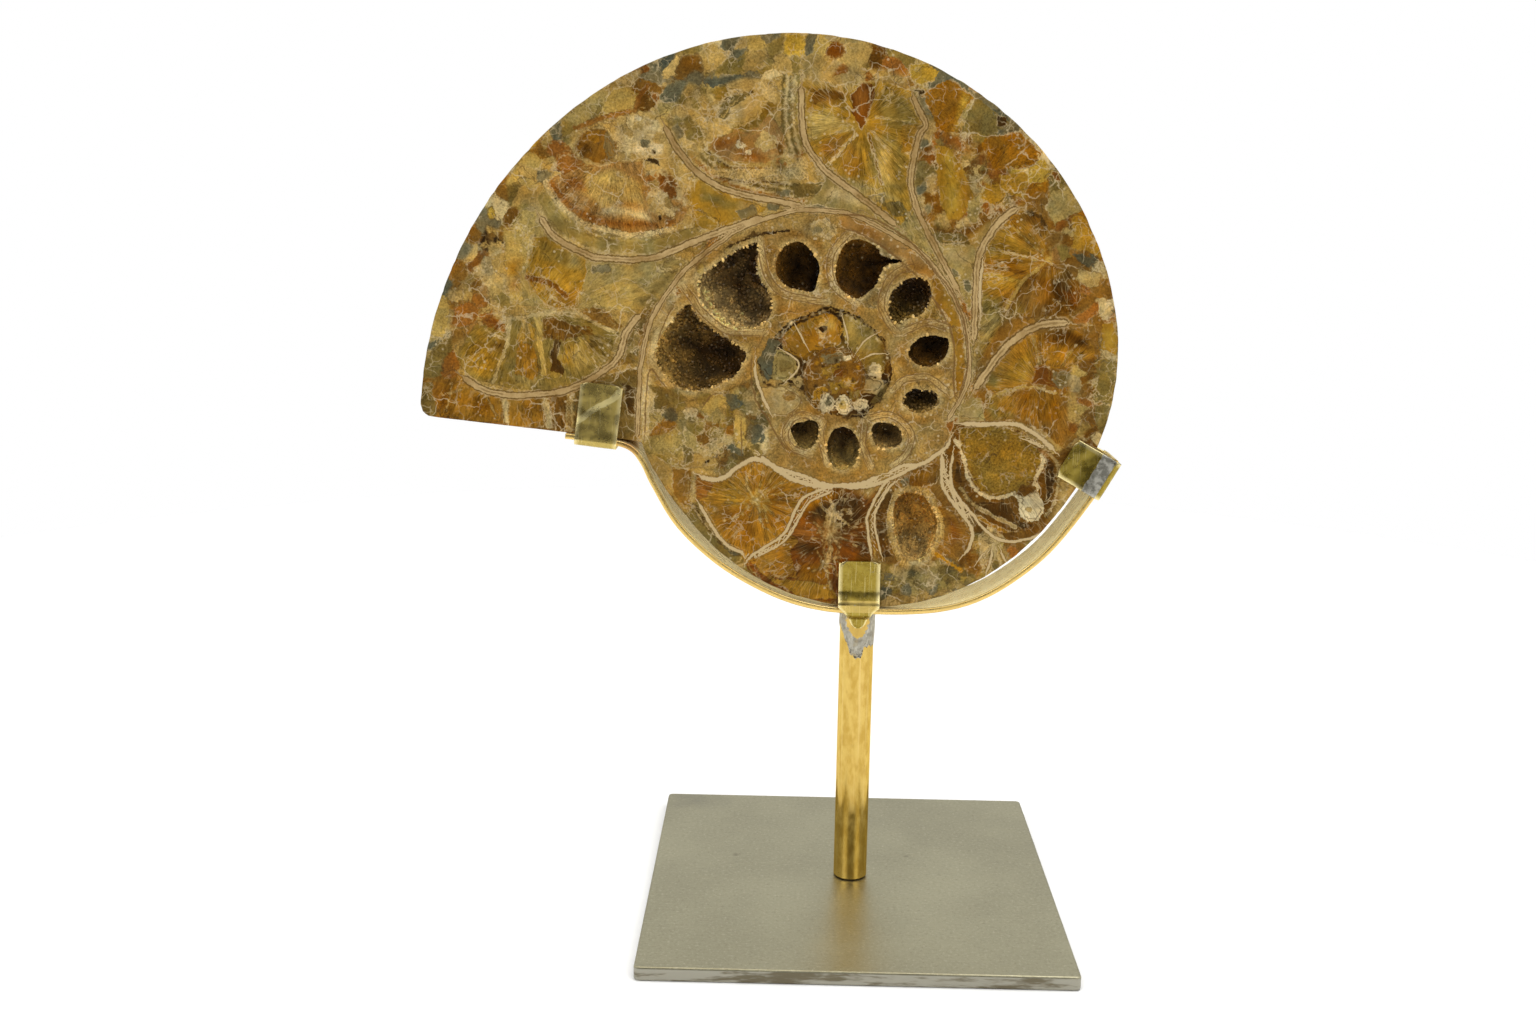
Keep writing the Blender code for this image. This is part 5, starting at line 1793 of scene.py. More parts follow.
def lay_eleventh_chamber(face):
    """Between walls 11 and 12: a star of amber crystal with cream veins."""
    face.draw("""
pieces 0.5 1 0.1
honey w12 w11 -wL
fan 1.2 14 -30,117
pieces 1.2 0.7
amber -30,118 -22,122 -20,117 -22,110 -28,109
gold -42,120 -36,124 -31,118 -38,113
amber -38,112 -31,116 -28,107 -34,104
brown -41,114 -38,116.5 -35,113 -38.5,109
star straw 19 10 -30,117
bands 0.45 0.3 0.6
cream -30,117 -25,121 -21.5,122.5
cream -30,117 -28,110 -24.5,107
cream -30,117 -36,112 -40,110.5
cream -30,117 -33,122 -31,127.5
pieces 0.5 1 0.4
mud wL -37,97 -46,104 -54,115 -50,118
tan -63,132 -54,126 -48.5,126 -47,117 -50,113 -62,126
pieces 0.35 0.85
dark -49,116 -47.3,115 -44.5,110.8 -40,105 -34,101 -36.5,100.8 -40.5,104 -45,109
oak -54,125.5 -49,125.5 -49,115.5 -52,116 -54,120.5
rust -47.5,125 -44.5,123.5 -42.5,121 -44.5,117.5 -47.5,116.5
slate -40.5,105 -34.5,101.5 -36,100.5 -39.5,103
bands 0.6 0.3 0.8
cream -48,125 -48,117.5
cream -48,115 -45,110 -41,106 -37,102.5
sugar -46,112.5 -42.5,108.5
""")


def lay_broken_shell(face):
    """Left of the small chambers, where the inner whorl was crushed: broken shell in mud."""
    whole = "-63,132 -62.5,150 -58,149 -40,147 -34,151 -31,152 -27,140 -27,131 -38,126 -50,126"
    face.draw(f"""
pieces 0.5 1 0.4
mud {whole}
with cream -60,146 -27,134 moss -57.5,145.5 mud -52,145 slate -54.5,141.5 straw -56,133 -52,130
with pale -49,134 -60,139 oak -43,137.5 -56,138 tan -46,129 olive -48,137.5 grey -30.5,136
of tan mud oak pale oak olive moss tan
rubble 3.6 41 sugar 1 {whole}
pieces 0.4 0.9
cream -62.5,134 -62.5,149 -61,149 -60.5,143 -61,134
moss -59.5,146 -56.5,147 -55,144 -59,142.5
slate -57,141.5 -54.5,143 -51.5,142 -56,139.5
straw -46,142.5 -43,147 -40,147.5 -38,145 -44,141.5
slate -39.5,147.5 -36.5,147.5 -33.5,144 -37.5,142.5
straw -37,141.5 -33.3,141 -33.3,130.5 -36,130.5
slate -32.5,137 -30.5,139 -28.5,138.5 -28,134 -31,133.5
moss -33,133.5 -29,133.5 -29.5,130.5
slate -39.5,132.5 -37,133.5 -33.5,131.5 -34,129.5
umber -46,127.5 -42,130 -39.5,130
pieces 0.4 0.7
chalk -51,142.5 -49,143.5 -47,142.5 -47,140.5 -50,140
ember -47,142 -44.5,140.5 -47.5,140.5
olive -44,137 -40.5,140.5 -38.5,137.5 -39.5,134.5 -43.5,135
brown -43,138.5 -41.2,139.5 -40.3,137.3
cream -47,131.5 -38,136 -37,134.5 -45,129
straw -59,134 -53,138 -50,134 -54,130
sugar -34.5,147.5 -31,151 -30,145 -28,141 -33,142
vein 0.5 -34.5,141 -34.5,130.5
vein 0.5 -46,142.5 -43,147 -39.5,147.5
""")


def lay_inner_coil(face):
    """The cream sugary stone of the inner whorl, the brown horn along its top, and its walls."""
    face.draw("""
pieces 0.5 1 0.7
tan arch -floor -30,140 -31,151 -46,146.5 -54,148 -60,154
fan 0 1 0,0
cloud cream 0.5 6 51
cloud oak 0.6 4 52
cloud rose 0.5 3 53
bands 3 0.6 0.7 0.6
cream -62.5,133 -62,145 -59,163.5 -56.5,169.5 -48,181
pieces 0.7 0.75 1
oak -28,190 -24,188 -24,179 -26,178
oak -22,192 -16,191 -13,187.5 -13,190 -22,194
tan -30,167.5 -25,171 -23,169 -28,165.5
pieces 0.5 0.75 1
mud 13,170.5 17.5,175 22,169.5 16,169
oak -21.5,174.5 -10,174 -14,176
grey -5,174 2,178 4,176 3,172
brown 3.5,186 6.5,187 10.5,185.5 5.5,184.5
ovals 0.3 0.8
cream -12.5,193.6 7.5,5 -10
ovals 0.4 0.65
tan -13,193.6 4.6,3.2 -10
grey -14,193.3 2,1.8
yellow -46.5,182.3 2,3
ovals 0.4 0.8
cream -50.5,179.5 9,2.2 52
flesh -52,175.6 1.1,1.7
pieces 0.4 0.8
rust -53,177 -51.5,177.5 -51,175.5 -53,174.5
septum -51.5,177.5 -49,174.5 -46,170.5 -42,167 -37.5,165 -28.5,165
septum -30,191 -29.5,187 -28.5,182.5 -26.5,178.5 -23.5,176 -18,174.5 -11,173.5
septum -5.5,192.5 -8.5,189.5 -10.5,186 -10.5,182 -9.5,178.5 -7,176 -3,173.5
septum 13.5,184 9.5,183 6,180.5 4.5,177 4,172.5 6,168.5 8.5,165.5
septum 9.5,165.5 13,167 17.5,168.5 24.5,166.5
septum 8,149.5 10.5,152 14,153 18,153 24,148.5
septum 1.5,141.5 6,142.5 10,141 13,138 13.5,134.5 12,131 9,128
septum 0.5,141 0,137.5 0,133.5 2.5,127.5
septum -11.5,140 -12,135.5 -10,128
septum -13,140.5 -17.5,142 -21,139.5 -22,135.5 -19.5,132 -15,130.5
vein 0.5 -62,134 -61.5,146 -60.5,154 -58,151.5 -55,148
vein 0.5 -49.5,181.5 -44.5,186.5 -41.5,187.5
vein 0.5 -59.5,157 -57,165.5 -53.5,172.5
vein 0.5 -32,151 -30,145 -26.5,139.5 -22,131.5
bands 0.7 0.3 0.95
umber -39.5,188 -35.5,190 -31,191.5 -22.5,193
pieces 0.3 0.8
dark -35,191 -31.5,192.5 -30.5,191.5
pieces 0.35 1 0.3
rose -8,197 -3,196.5 2,195 7,192.5 12,189 19.5,180.5 17,179.5 9,186 0,191.5 -8,194.5
pieces 0.8 0.5
rust -2,196 4,193 3,190 -3,193
pieces 0.35 1 0.2
honey 19.5,181 23,175.5 26,169.5 28,156 27.5,149.5 25.5,149 25,162.5 23,169 15.5,180
pieces 0.6 0.6
gold 20,177 24,172 26,166 27,153 26,153 24,166
vein 0.6 -9,197.5 -3,197.5 2.5,196 8,193 13,189 22.5,178 26,171.5 28,164 28.5,156 26,146.5
vein 0.6 -9,194 -4,193 1,190.5 6,187.5 15,179.5 22.5,168.5 24.5,162 25,149.5 26,146.5
bands 0.8 0.3 0.65
flesh 30,172 30.5,156 29,150
olive 22.5,177 25.5,171.5
""")


def lay_inner_disc(face):
    """The first whorls, where the chambers are too small to stay hollow."""
    face.draw("""
pieces 0.35 1 0.25
umber -10,172.5 -20,169 -25,165 -28,160.5 -30,156.5 -29,152.5 -20,150.5 -13,143.5 -5,141 0,142 4,145.5
6.5,149.5 7.5,154 7,159 5,163.5 -2,170
pieces 0.4 1 0.2
honey -24,163.5 -20,167 -15,169.5 -9,170.5 -6.5,167 -7,162 -15,160 -17.5,157.5 -23,160.5
pieces 0.7 0.6
olive -23,164 -18,168 -12,170 -15,166
straw -13,169 -9,169 -9,166 -13,166
pieces 0.5 0.8
rust -25,163 -22.5,164.5 -22,161.5
pieces 0.8 0.6
ochre -20,158 -15,160 -12,162 -16,157
pieces 0.4 1 0.2
olive -7,170.5 -2,169 2,166 5,162.5 6,158 5.5,154 0,154 -5,161.5
ovals 0.7 0.65
straw -4,166 4,4.6
straw -0.2,162 4.4,4.2
olive -6.8,161.5 5,3
pieces 0.7 0.7
brown 5,164 7,159 7,154 6,153 4,162
fan 0.6 6 -9,152 -24,163 -15,170 -6,171 2,167 6,160 6,154 0,154 -12,161
seam 0.45 -5,161.5 -5.5,165.5 -7,170
seam 0.45 -3,159.5 0,163.5 3.5,165.5
seam 0.45 -1,158 2,159.5 6,159.5
seam 0.45 -16,160.5 -18.5,164.5 -20,168
pieces 0.4 0.5 0.8
chalk -14,166 -13,167.5 -11.5,168 -11.5,164 -13,163.5
pieces 0.3 1
umber -13.5,166.5 -11,167 -11,165.5 -12,165
umber 2,156 3.5,156 3,155
pieces 0.4 0.8
chalk 1.5,157.5 4.5,157 4.5,153 1,153
cream -0.5,151.5 0.5,153 4.5,152.5 5.5,150.5 3,148 -0.5,149
moss 3.5,148.5 5.5,150.5 6.5,152 6,148.5 3.5,145.5 1.5,145.5
ovals 0.2 1 0.5
brown -8.6,151.9 17.6,18.2
ovals 0.6 0.8 0.6
oak -8.4,151.6 15,15.6
pieces 0.4 0.9 0.6
grey -13,159 -6.5,159.5 -6,157 -8.5,156 -12,157
brown -11,157 -7.5,156 -7,158 -5,154 -10,154.5
gold -12,155.5 -7.5,156.5 -7,153.5 -12,153
ember -9,155 -7,155 -6,153 -9,153
gold -7,152 -4,153 -2,151.5 -3.5,149.5 -6.5,150
gold -10,151.5 -7,151 -7,148.5 -9.5,148
ochre -14,149.5 -11,150 -10.5,147.5 -12.5,145.5 -14.5,146.5
olive -4,149 -1,149.5 -1.5,146.5 -4,147
vein 0.35 -17,152 -15.5,156.5 -12.5,160 -8,161 -4,160 -1,156.5 -1,151.5
ovals 0.4 0.85 0.6
chalk -5.2,158 1.8,1.8
chalk -0.8,145.2 4.2,3.4 20
ovals 0.3 0.7
dark -5.9,144.9 5.7,6.1
dark -10.4,145.3 4.9,5.5
ovals 0.3 1
chalk -5.9,144.9 4.6,5.4
chalk -10.4,145.3 3.8,4.8
ovals 0.4 0.9
straw -5.9,144.9 2,2.7
grey -10.4,145.3 1.7,2.4
""")
    draw = np.random.default_rng(5)
    for _ in range(26):
        way, out = draw.uniform(0, 2 * math.pi), 8 * math.sqrt(draw.uniform(0.02, 1))
        across, up = -8.7 + out * math.cos(way), 151.9 + out * math.sin(way)
        colour = ("umber", "ochre")[draw.integers(2)]
        wide, high = draw.uniform(0.5, 1.3), draw.uniform(0.5, 1.1)
        face.oval(colour, across, up, wide, high, draw.uniform(0, 180), 0.5, 0.8)
    for _ in range(22):
        way, wide, high = draw.uniform(0.15, 2.6), draw.uniform(0.6, 1.5), draw.uniform(0.5, 0.9)
        across, up = -11 + 17.6 * math.cos(way), 154.2 + 16.4 * math.sin(way)
        face.oval("chalk", across, up, wide, high, math.degrees(way) + 90, 0.5, draw.uniform(0.3, 0.9))
    face.draw("""
pieces 0.35 1 0.3
slate -27,163.5 -24,163 -25,160 -25.5,153.5 -27.5,151 -30,157.5
pale -25,160 -23.5,160.5 -20,158 -18.5,155 -20,152.5 -22.5,151 -26.5,151.5 -25.5,157
pieces 0.5 0.65
mud -24,157.7 -21.5,157 -20.5,155.5 -23.5,153.5
seam 0.5 -24,160.5 -20.5,158.5 -18.5,155.5 -22.5,151
pieces 0.4 0.9
sugar -20.5,151.5 -18.5,153.5 -17.5,150.5 -18.5,149
bands 0.4 0.3 0.8
umber -28.5,151 -26.5,150 -22,150.5 -18,148.5
pieces 0.4 1 0.35
sugar -30,149.5 -20.5,149.5 -18,146.5 -19,143.5 -22,141.5 -26,141.5 -29,144.5
ovals 0.4 0.75 1
oak -21.2,147.2 3.4,3 -20
vein 0.35 -22.5,149.5 -18,146.5 -19.5,143.5 -22,142 -25,142
ovals 0.5 0.7
slate -29.4,147 1.2,1
slate -29.8,149.4 1.2,1
vein 0.4 -32,158.5 -32,152 -30.5,145.5 -27,140
vein 0.4 -31,160 -27.5,165.5
seam 0.8 -31,157.5 -30.5,151.5 -26,141.5
""")


def lay_walls(face):
    """The chamber walls, and the thin cream seams of the small chambers' walls."""
    face.draw("""
wall 1.8 w1
wall 1.8 w2
wall 1.7 w3
wall 1.7 w4
wall 1.6 w5
wall 1.8 w6
wall 2.1 w7
wall 1.3 whorl
seam 1.2 w8
seam 0.6 44.5,136.5 48,135 51.5,133.5
seam 0.9 w9
seam 0.8 w9b
seam 0.5 22.5,132.5 23.5,126 25.5,120.5 31.5,112
seam 0.8 36,103.5 34.5,101.5 33.5,99.5
seam 0.7 38,105 37.5,101 36,95.5
seam 0.7 40,104.5 41.5,101 43.5,99.5
seam 0.8 w10
seam 0.6 w10b
seam 0.8 w11
seam 0.6 -7,120.5 -12,118.5 -15.5,116 -19.5,108.5 -22.5,104.5 -30.5,100
seam 1.3 w12
seam 1 w12e
seam 0.9 wL
seam 1 floor
""")
    away = np.abs(face.wall) * 0.85
    where = np.nonzero(away < 3)[0]
    near_wall = 1 - away[where] / 3
    face.lay(where, 0.3 * near_wall, "tan")
    face.streak[where] *= 1 - 0.6 * near_wall


def weather(face):
    """Small changes of shade and hue all over the face, so that no two spots are the same."""
    x, z = face.wander_x, face.wander_z
    shade = 0.925 + 0.1 * patches(x, z, 4.2, 61)
    shade += 0.06 * patches(x, z, 1.7, 62) + 0.05 * patches(x, z, 0.8, 63)
    warm = 7 * patches(x, z, 5.5, 64) + 5 * patches(x, z, 1.9, 65)
    for layer in (face.under, face.over):
        layer *= shade[:, None]
        layer += warm[:, None] * np.array([0.9, 0.0, -0.9])
        layer[:] = np.clip(layer, 4, 245)


def shade_hollow_rims(face):
    """A sugary cream edge round each hollow, browner outside it."""
    for outline, *_ in HOLLOWS:
        line = smooth_line(outline, True)
        where = face.near(line, 4)
        away = to_line(face.x[where], face.z[where], line, True)
        face.lay(where, 0.4 * np.clip(1 - abs(away - 2.4) / 1.3, 0, 1), "oak")
        uneven = 0.65 + 0.35 * patches(face.x[where], face.z[where], 1.6, 71)
        face.lay(where, 0.85 * uneven * np.clip(1.5 - away / 0.9, 0, 1), "cream", 1.0)


HOLLOW_RINGS = 12
HOLLOW_SPACING = 0.72
DRUSE_DENSITY = 1.0e6  # crystals on a square metre
UMBILICUS_RINGS = [0.1, 0.18, 0.24, 0.27, 0.3, 0.36, 0.42, 0.48, 0.53, 0.58, 0.66, 0.76, 0.86, 0.94, 1.0]
FLANK_RINGS = [  # from the umbilicus out to the rim
    0.02, 0.05, 0.09, 0.14, 0.2, 0.27, 0.34, 0.42, 0.5, 0.58, 0.66, 0.73, 0.79, 0.85, 0.9, 0.94, 0.97,
    0.99, 1.0,
]


def face_points(outline, hollows):
    """Points all over the face in a shaken triangular grid, clear of the edges."""
    low, high = outline.min(0), outline.max(0)
    rows = np.arange(low[1], high[1], FACE_SPACING * math.sqrt(3) / 2)
    columns = np.arange(low[0], high[0], FACE_SPACING)
    across, up = np.meshgrid(columns, rows)
    across[1::2] += FACE_SPACING / 2
    points = np.stack([across.ravel(), up.ravel()], 1)
    draw = np.random.default_rng(3)
    points += draw.uniform(-0.17, 0.17, points.shape) * FACE_SPACING
    keep = is_inside(points[:, 0], points[:, 1], outline)
    points = points[keep]
    clear = to_line(points[:, 0], points[:, 1], outline, True) > FACE_SPACING * 0.55
    points = points[clear]
    for hollow in hollows:
        where = np.nonzero(((points > hollow.min(0) - 1) & (points < hollow.max(0) + 1)).all(1))[0]
        x, z = points[where].T
        drop = is_inside(x, z, hollow) | (to_line(x, z, hollow, True) < FACE_SPACING * 0.5)
        points = np.delete(points, where[drop], axis=0)
    return points


class StoneMesh:
    """Points of the fossil's surface in mm from the post's foot, with their faces and marks."""

    def __init__(self):
        self.places, self.faces, self.count = [], [], 0
        self.tint, self.coil = [], []

    def add_points(self, across, depth, up, tint, coil=None):
        start = self.count
        depth = np.broadcast_to(depth, across.shape)
        self.places.append(np.stack([across, depth, up], 1))
        self.tint.append(np.broadcast_to(tint, (len(across), 3)))
        self.coil.append(np.zeros((len(across), 3)) if coil is None else coil)
        self.count += len(across)
        return np.arange(start, self.count)

    def close(self, ring, middle):
        """Faces from a ring of points to one in its middle."""
        self.faces += [[a, b, int(middle[0])] for a, b in zip(ring.tolist(), np.roll(ring, -1).tolist())]

    def join(self, first, second):
        """Faces between two closed rings of as many points."""
        a, b = np.roll(first, -1), np.roll(second, -1)
        self.faces += np.stack([first, a, b, second], 1).tolist()


def sunk_hollow(stone, ring, outline, depth, lit_way, lit_share, pale, deep_colour_and_shade):
    """A hollow's wall and floor, set back from its outline: steep at first, rough with crystal. Its lit side
    is painted paler, as painted light, and it darkens deeper down as painted shade over the druse's own dark
    colour.
    """
    centre = outline.mean(0)
    offsets = outline - centre
    size = np.hypot(*offsets.T).mean()
    light, dark, lip = (stone_colour(name) for name in (pale, deep_colour_and_shade, "sugar"))
    way = np.array(lit_way, float)
    way /= np.hypot(*way)
    previous = ring
    for k in range(1, HOLLOW_RINGS):
        t = k / HOLLOW_RINGS
        sink = depth * min(1.0, 1.35 * t - 0.35 * t * t)
        narrowed = max(0.0, t - 0.25) ** 1.7 / 0.75 ** 1.7
        shrink = (1 + 0.05 * math.sin(math.pi * min(1, t * 2.2))) * math.sqrt(max(0.0, 1 - narrowed))
        places = centre + offsets * shrink
        druse = patches(places[:, 0] + 3 * sink, places[:, 1] - 2 * sink, 2.2, 81)
        druse += 0.6 * patches(places[:, 0], places[:, 1] + sink, 1.0, 82)
        rough = min(1, 3 * t)
        places = centre + offsets * (shrink + 0.055 * druse[:, None] * rough * 6 / size)
        # Painted light: the wall on the side the given way points to is painted in the pale colour, less so
        # deeper down; the rest fades to the dark colour as painted shade.
        side = np.clip((places - centre) @ way / size * 0.5 + 0.5, 0, 1) ** 1.3
        blotch = 0.5 + 0.5 * patches(places[:, 0], places[:, 1], 3.5, 83)
        painted_light = lit_share * np.clip(side + 0.5 * (blotch - 0.4), 0, 1) * (1 - 0.3 * t)
        shade = dark + (light - dark) * painted_light[:, None]
        mouth = max(0.0, 1 - t * 6.5)
        tint = (lip * 0.75 * mouth + shade * (1 - mouth)) * (1 + 0.35 * druse[:, None])
        sunk = FACE_Y / MM + sink + 0.5 * druse * rough
        here = stone.add_points(places[:, 0], sunk, places[:, 1], np.clip(tint, 3, 230))
        stone.join(previous, here)
        previous = here
    # The floor is painted in the dark colour: painted shade over the druse's own dark.
    floor = stone.add_points(centre[:1], FACE_Y / MM + depth, centre[1:], dark)
    stone.close(previous, floor)


def shell_back(stone, ring, outline):
    """The shell's outside: an edge wall, then the ribbed flank in to the middle of the coil."""
    middle = np.array(COIL_CENTRE)
    offsets = outline - middle
    lengths = np.hypot(*offsets.T)
    ways = offsets / lengths[:, None]
    raw = np.degrees(np.arctan2(offsets[:, 1], offsets[:, 0]))
    angles = np.where(raw < FIRST_ANGLE - 0.5, raw + 360, raw)
    angles[0] = FIRST_ANGLE
    for i in range(1, len(angles)):
        while angles[i] < angles[i - 1] - 180:
            angles[i] += 360
    stations = [(share, 0.0) for share in UMBILICUS_RINGS] + [(1.0, share) for share in FLANK_RINGS]
    shell, worn = stone_colour("oak"), stone_colour("tan")
    previous = ring
    first = True
    for in_umbilicus, over_flank in reversed(stations):
        umbilicus = UMBILICUS_SHARE * np.array([rim_radius(a) for a in angles])
        radii = in_umbilicus * umbilicus + over_flank * (lengths - umbilicus)
        found = [flank_height(r, a) for r, a in zip(radii, angles)]
        heights, shares = np.array(found).T
        phase = np.radians(angles) * 34 - 2.6 * shares ** 2 + 1.4 * np.sin(shares * 5)
        fade = np.clip(shares * 6, 0, 1) * np.clip((1 - shares) * 5 + 0.35, 0, 1)
        rib = np.clip(0.5 + 0.5 * np.cos(phase), 0, 1) ** 0.8
        heights = heights - 0.55 * (1 - rib) * fade
        places = middle + ways * radii[:, None]
        tone = 0.5 + 0.5 * patches(places[:, 0], places[:, 1], 9, 91)
        tint = shell + (worn - shell) * (0.55 * tone + 0.35 * rib)[:, None]
        coil = np.stack([np.radians(angles), shares, np.ones(len(angles))], 1)
        if first:
            for share in (0.3, 0.65):
                depth = FACE_Y / MM + 0.3 + (heights - 0.3) * share
                stone_tint = shell * (0.9 + 0.25 * patches(places[:, 0], places[:, 1], 2.5, 92))[:, None]
                here = stone.add_points(places[:, 0], depth, places[:, 1], stone_tint)
                stone.join(previous, here)
                previous = here
            first = False
        tint, depth = np.clip(tint, 5, 235), FACE_Y / MM + heights
        here = stone.add_points(places[:, 0], depth, places[:, 1], tint, coil)
        stone.join(previous, here)
        previous = here
    height = flank_height(0, INNERMOST_ANGLE)[0]
    centre = stone.add_points(middle[:1], FACE_Y / MM + height, middle[1:], shell)
    stone.close(previous, centre)


def make_stone_material():
    stone = Finish("calcite_fossil", (1, 1, 1))
    fan = stone.marks("fan", "Vector")
    streak, grit, polish = stone.parts(stone.marks("grain", "Vector"))
    wall, seam, edge = stone.parts(stone.marks("lines", "Vector"))
    vein, growth, _ = stone.parts(stone.marks("veins", "Vector"))
    turn, share, outer = stone.parts(stone.marks("coil", "Vector"))
    mottle = stone.noise(420, 6, 0.68)
    fine = stone.noise(1700, 3, 0.7)

    def line_at(place, half):
        """Distance from a marked line, in half widths. Where two lines meet midway it isn't a line."""
        return stone.calculate("MAXIMUM", abs(place), (growth - 0.5) * (1 / half))

    def ragged(value, scale, detail, low, high):
        return value + stone.patch(scale, detail, 0.6, 0.3, 0.7, low, high)

    # Pieces meet at ragged edges, which are marked here and there by a dark or a cream line.
    torn = edge + stone.patch(800, 4, 0.7, 0.3, 0.7, -0.3, 0.3)
    stone.coat(1.0, stone.marks("tint", "Color"))
    stone.coat(stone.fade(torn, -0.07, 0.07), stone.marks("over", "Color"))
    on_edge = stone.fade(abs(torn), 0.06, 0.24, 1, 0) * polish
    stone.coat(on_edge * stone.patch(85, 3, 0.6, 0.5, 0.42, 0, 0.55), (0.09, 0.05, 0.014))
    stone.coat(on_edge * stone.patch(85, 3, 0.6, 0.52, 0.6, 0, 0.6), (0.50, 0.37, 0.18))

    # Crystal fans: blades of lighter and darker crystal, and fine needles in them.
    bent_fan = stone.vector("ADD", fan, stone.vector("SUBTRACT", stone.warped(260, 1.0), stone.place))
    blades, _, _ = stone.parts(stone.cells(0.75, "F1", at=bent_fan, out="Color"))
    needles = stone.noise(3.6, 4, 0.75, at=fan)
    light = (stone.fade(blades, 0.0, 1.0, -0.2, 0.2) + stone.fade(needles, 0.3, 0.7, -0.42, 0.42)) * streak
    light += stone.fade(mottle, 0.3, 0.7, 0.87, 1.13) + stone.fade(fine, 0.3, 0.7, -0.4, 0.4) * (grit + 0.2)
    stone.coat(1.0, stone.add("ShaderNodeCombineColor", {0: light, 1: light, 2: light}), "MULTIPLY")
    between = stone.fade(stone.cells(0.75, at=bent_fan), 0.0, 0.05, 1, 0)
    stone.coat(between * streak * stone.patch(120, 2, 0.55, 0.5, 0.62, 0, 0.45), (0.46, 0.33, 0.14))

    # Healed cracks: thin white lines, and a few open ones that are dark.
    cracks = stone.fade(stone.cells(115, at=stone.warped(240, 0.005)), 0.0, 0.026, 1, 0)
    small = stone.fade(stone.cells(330, at=stone.warped(600, 0.002)), 0.0, 0.06, 1, 0)
    cracks *= stone.patch(70, 3, 0.6, 0.5, 0.62)
    small *= stone.patch(150, 2, 0.6, 0.5, 0.64, 0, 0.7)
    stone.coat(stone.calculate("MAXIMUM", cracks, small) * polish * 0.6, (0.60, 0.47, 0.26))
    open_cracks = stone.fade(stone.cells(62, at=stone.warped(300, 0.004)), 0.0, 0.01, 1, 0)
    open_cracks *= polish * stone.patch(90, 2, 0.55, 0.5, 0.6)
    stone.coat(open_cracks * 0.65, (0.05, 0.03, 0.01))
    flecks = stone.fade(stone.cells(520, "F1"), 0.12, 0.24, 0.5, 0)
    stone.coat(flecks * stone.patch(110, 2, 0.6, 0.5, 0.62), (0.62, 0.50, 0.28))
    pocks = stone.fade(stone.cells(640, "F1", at=stone.warped(500, 0.002)), 0.12, 0.22, 0.55, 0)
    stone.coat(pocks * stone.patch(130, 2, 0.55, 0.52, 0.62), (0.07, 0.04, 0.012))

    # Chamber walls: dark line, tan filling, dark line, and a cream fringe outside.
    torn_wall = ragged(line_at(wall, 0.85), 1100, 3, -0.16, 0.16)
    fringe = stone.fade(torn_wall, 1.7, 1.35) * stone.patch(380, 3, 0.55, 0.42, 0.6, 0, 0.6)
    stone.coat(fringe, (0.44, 0.31, 0.14))
    stone.coat(stone.fade(torn_wall, 1.25, 1.1, 0, 0.8), (0.10, 0.052, 0.013))
    filling = stone.fade(torn_wall, 0.86, 0.66, 0, 0.92)
    stone.coat(filling, (0.28, 0.165, 0.05))
    pale = stone.fade(mottle, 0.3, 0.7, 0, 0.5) + stone.patch(75, 2, 0.55, 0.4, 0.6, 0, 0.5)
    stone.coat(filling * pale, (0.54, 0.38, 0.17))
    core = stone.fade(torn_wall, 0.3, 0.12, 0, 0.6) * stone.patch(130, 2, 0.55, 0.44, 0.56)
    stone.coat(core, (0.15, 0.085, 0.022))
    torn_seam = ragged(line_at(seam, 0.45), 1300, 3, -0.3, 0.3)
    stone.coat(stone.fade(torn_seam, 1.9, 1.4, 0, 0.5), (0.15, 0.085, 0.022))
    stone.coat(stone.fade(torn_seam, 1.15, 0.75, 0, 0.95), (0.54, 0.40, 0.20))
    torn_vein = ragged(line_at(vein, 0.2), 900, 3, -0.3, 0.5)
    stone.coat(stone.fade(torn_vein, 1.2, 0.7, 0, 0.8), (0.15, 0.075, 0.022))

    # The outside: brown suture lines frilled across the flank, and worn mother of pearl.
    frill = stone.calculate("SINE", share * 21.0) * 0.05 + stone.calculate("SINE", share * 74.0) * 0.022
    suture = abs(stone.calculate("FRACT", turn * 2.2 + frill + stone.noise(260, 3) * 0.06) - 0.5)
    stone.coat(stone.fade(suture, 0.006, 0.016, 0.7, 0) * outer, (0.06, 0.033, 0.012))
    stone.coat(stone.patch(90, 4, 0.6, 0.5, 0.62, 0, 0.45) * outer, (0.36, 0.30, 0.17))
    return stone.finish(
        Roughness=stone.fade(mottle, 0.3, 0.7, 0.2, 0.34) + grit * 0.3,
        Specular_IOR_Level=0.04,
        Normal=stone.bump(fine * grit + mottle * 0.25 - open_cracks * 0.8, 0.12 * MM, 0.35),
    )


def linear(colours):
    """Paint values 0 to 255 as the light that they give back."""
    share = np.clip(colours, 0, 255) / 255
    return np.where(share <= 0.04045, share / 12.92, ((share + 0.055) / 1.055) ** 2.4)


def add_marks(mesh, name, values):
    """Gives each point of the mesh three numbers, under this name, for the material to read."""
    colours = name in ("tint", "over")
    attribute = mesh.attributes.new(name, "FLOAT_COLOR" if colours else "FLOAT_VECTOR", "POINT")
    if colours:
        values = np.concatenate([values, np.ones((len(values), 1))], 1)
    attribute.data.foreach_set("color" if colours else "vector", values.astype(np.float32).ravel())


def crystal_shape():
    """One small pointed crystal, six-sided, standing on the origin, 1 across."""
    made = bmesh.new()
    rings = [[made.verts.new((0.08, 0, 1.25))]]
    for height, radius in ((0.75, 0.5), (-0.25, 0.46)):
        turns = [math.radians(60 * k) for k in range(6)]
        rings.append([made.verts.new((radius * math.cos(t), radius * math.sin(t), height)) for t in turns])
        join_rings(made, rings[-1], rings[-2])
    return add_object("crystal", mesh_of("crystal", made))


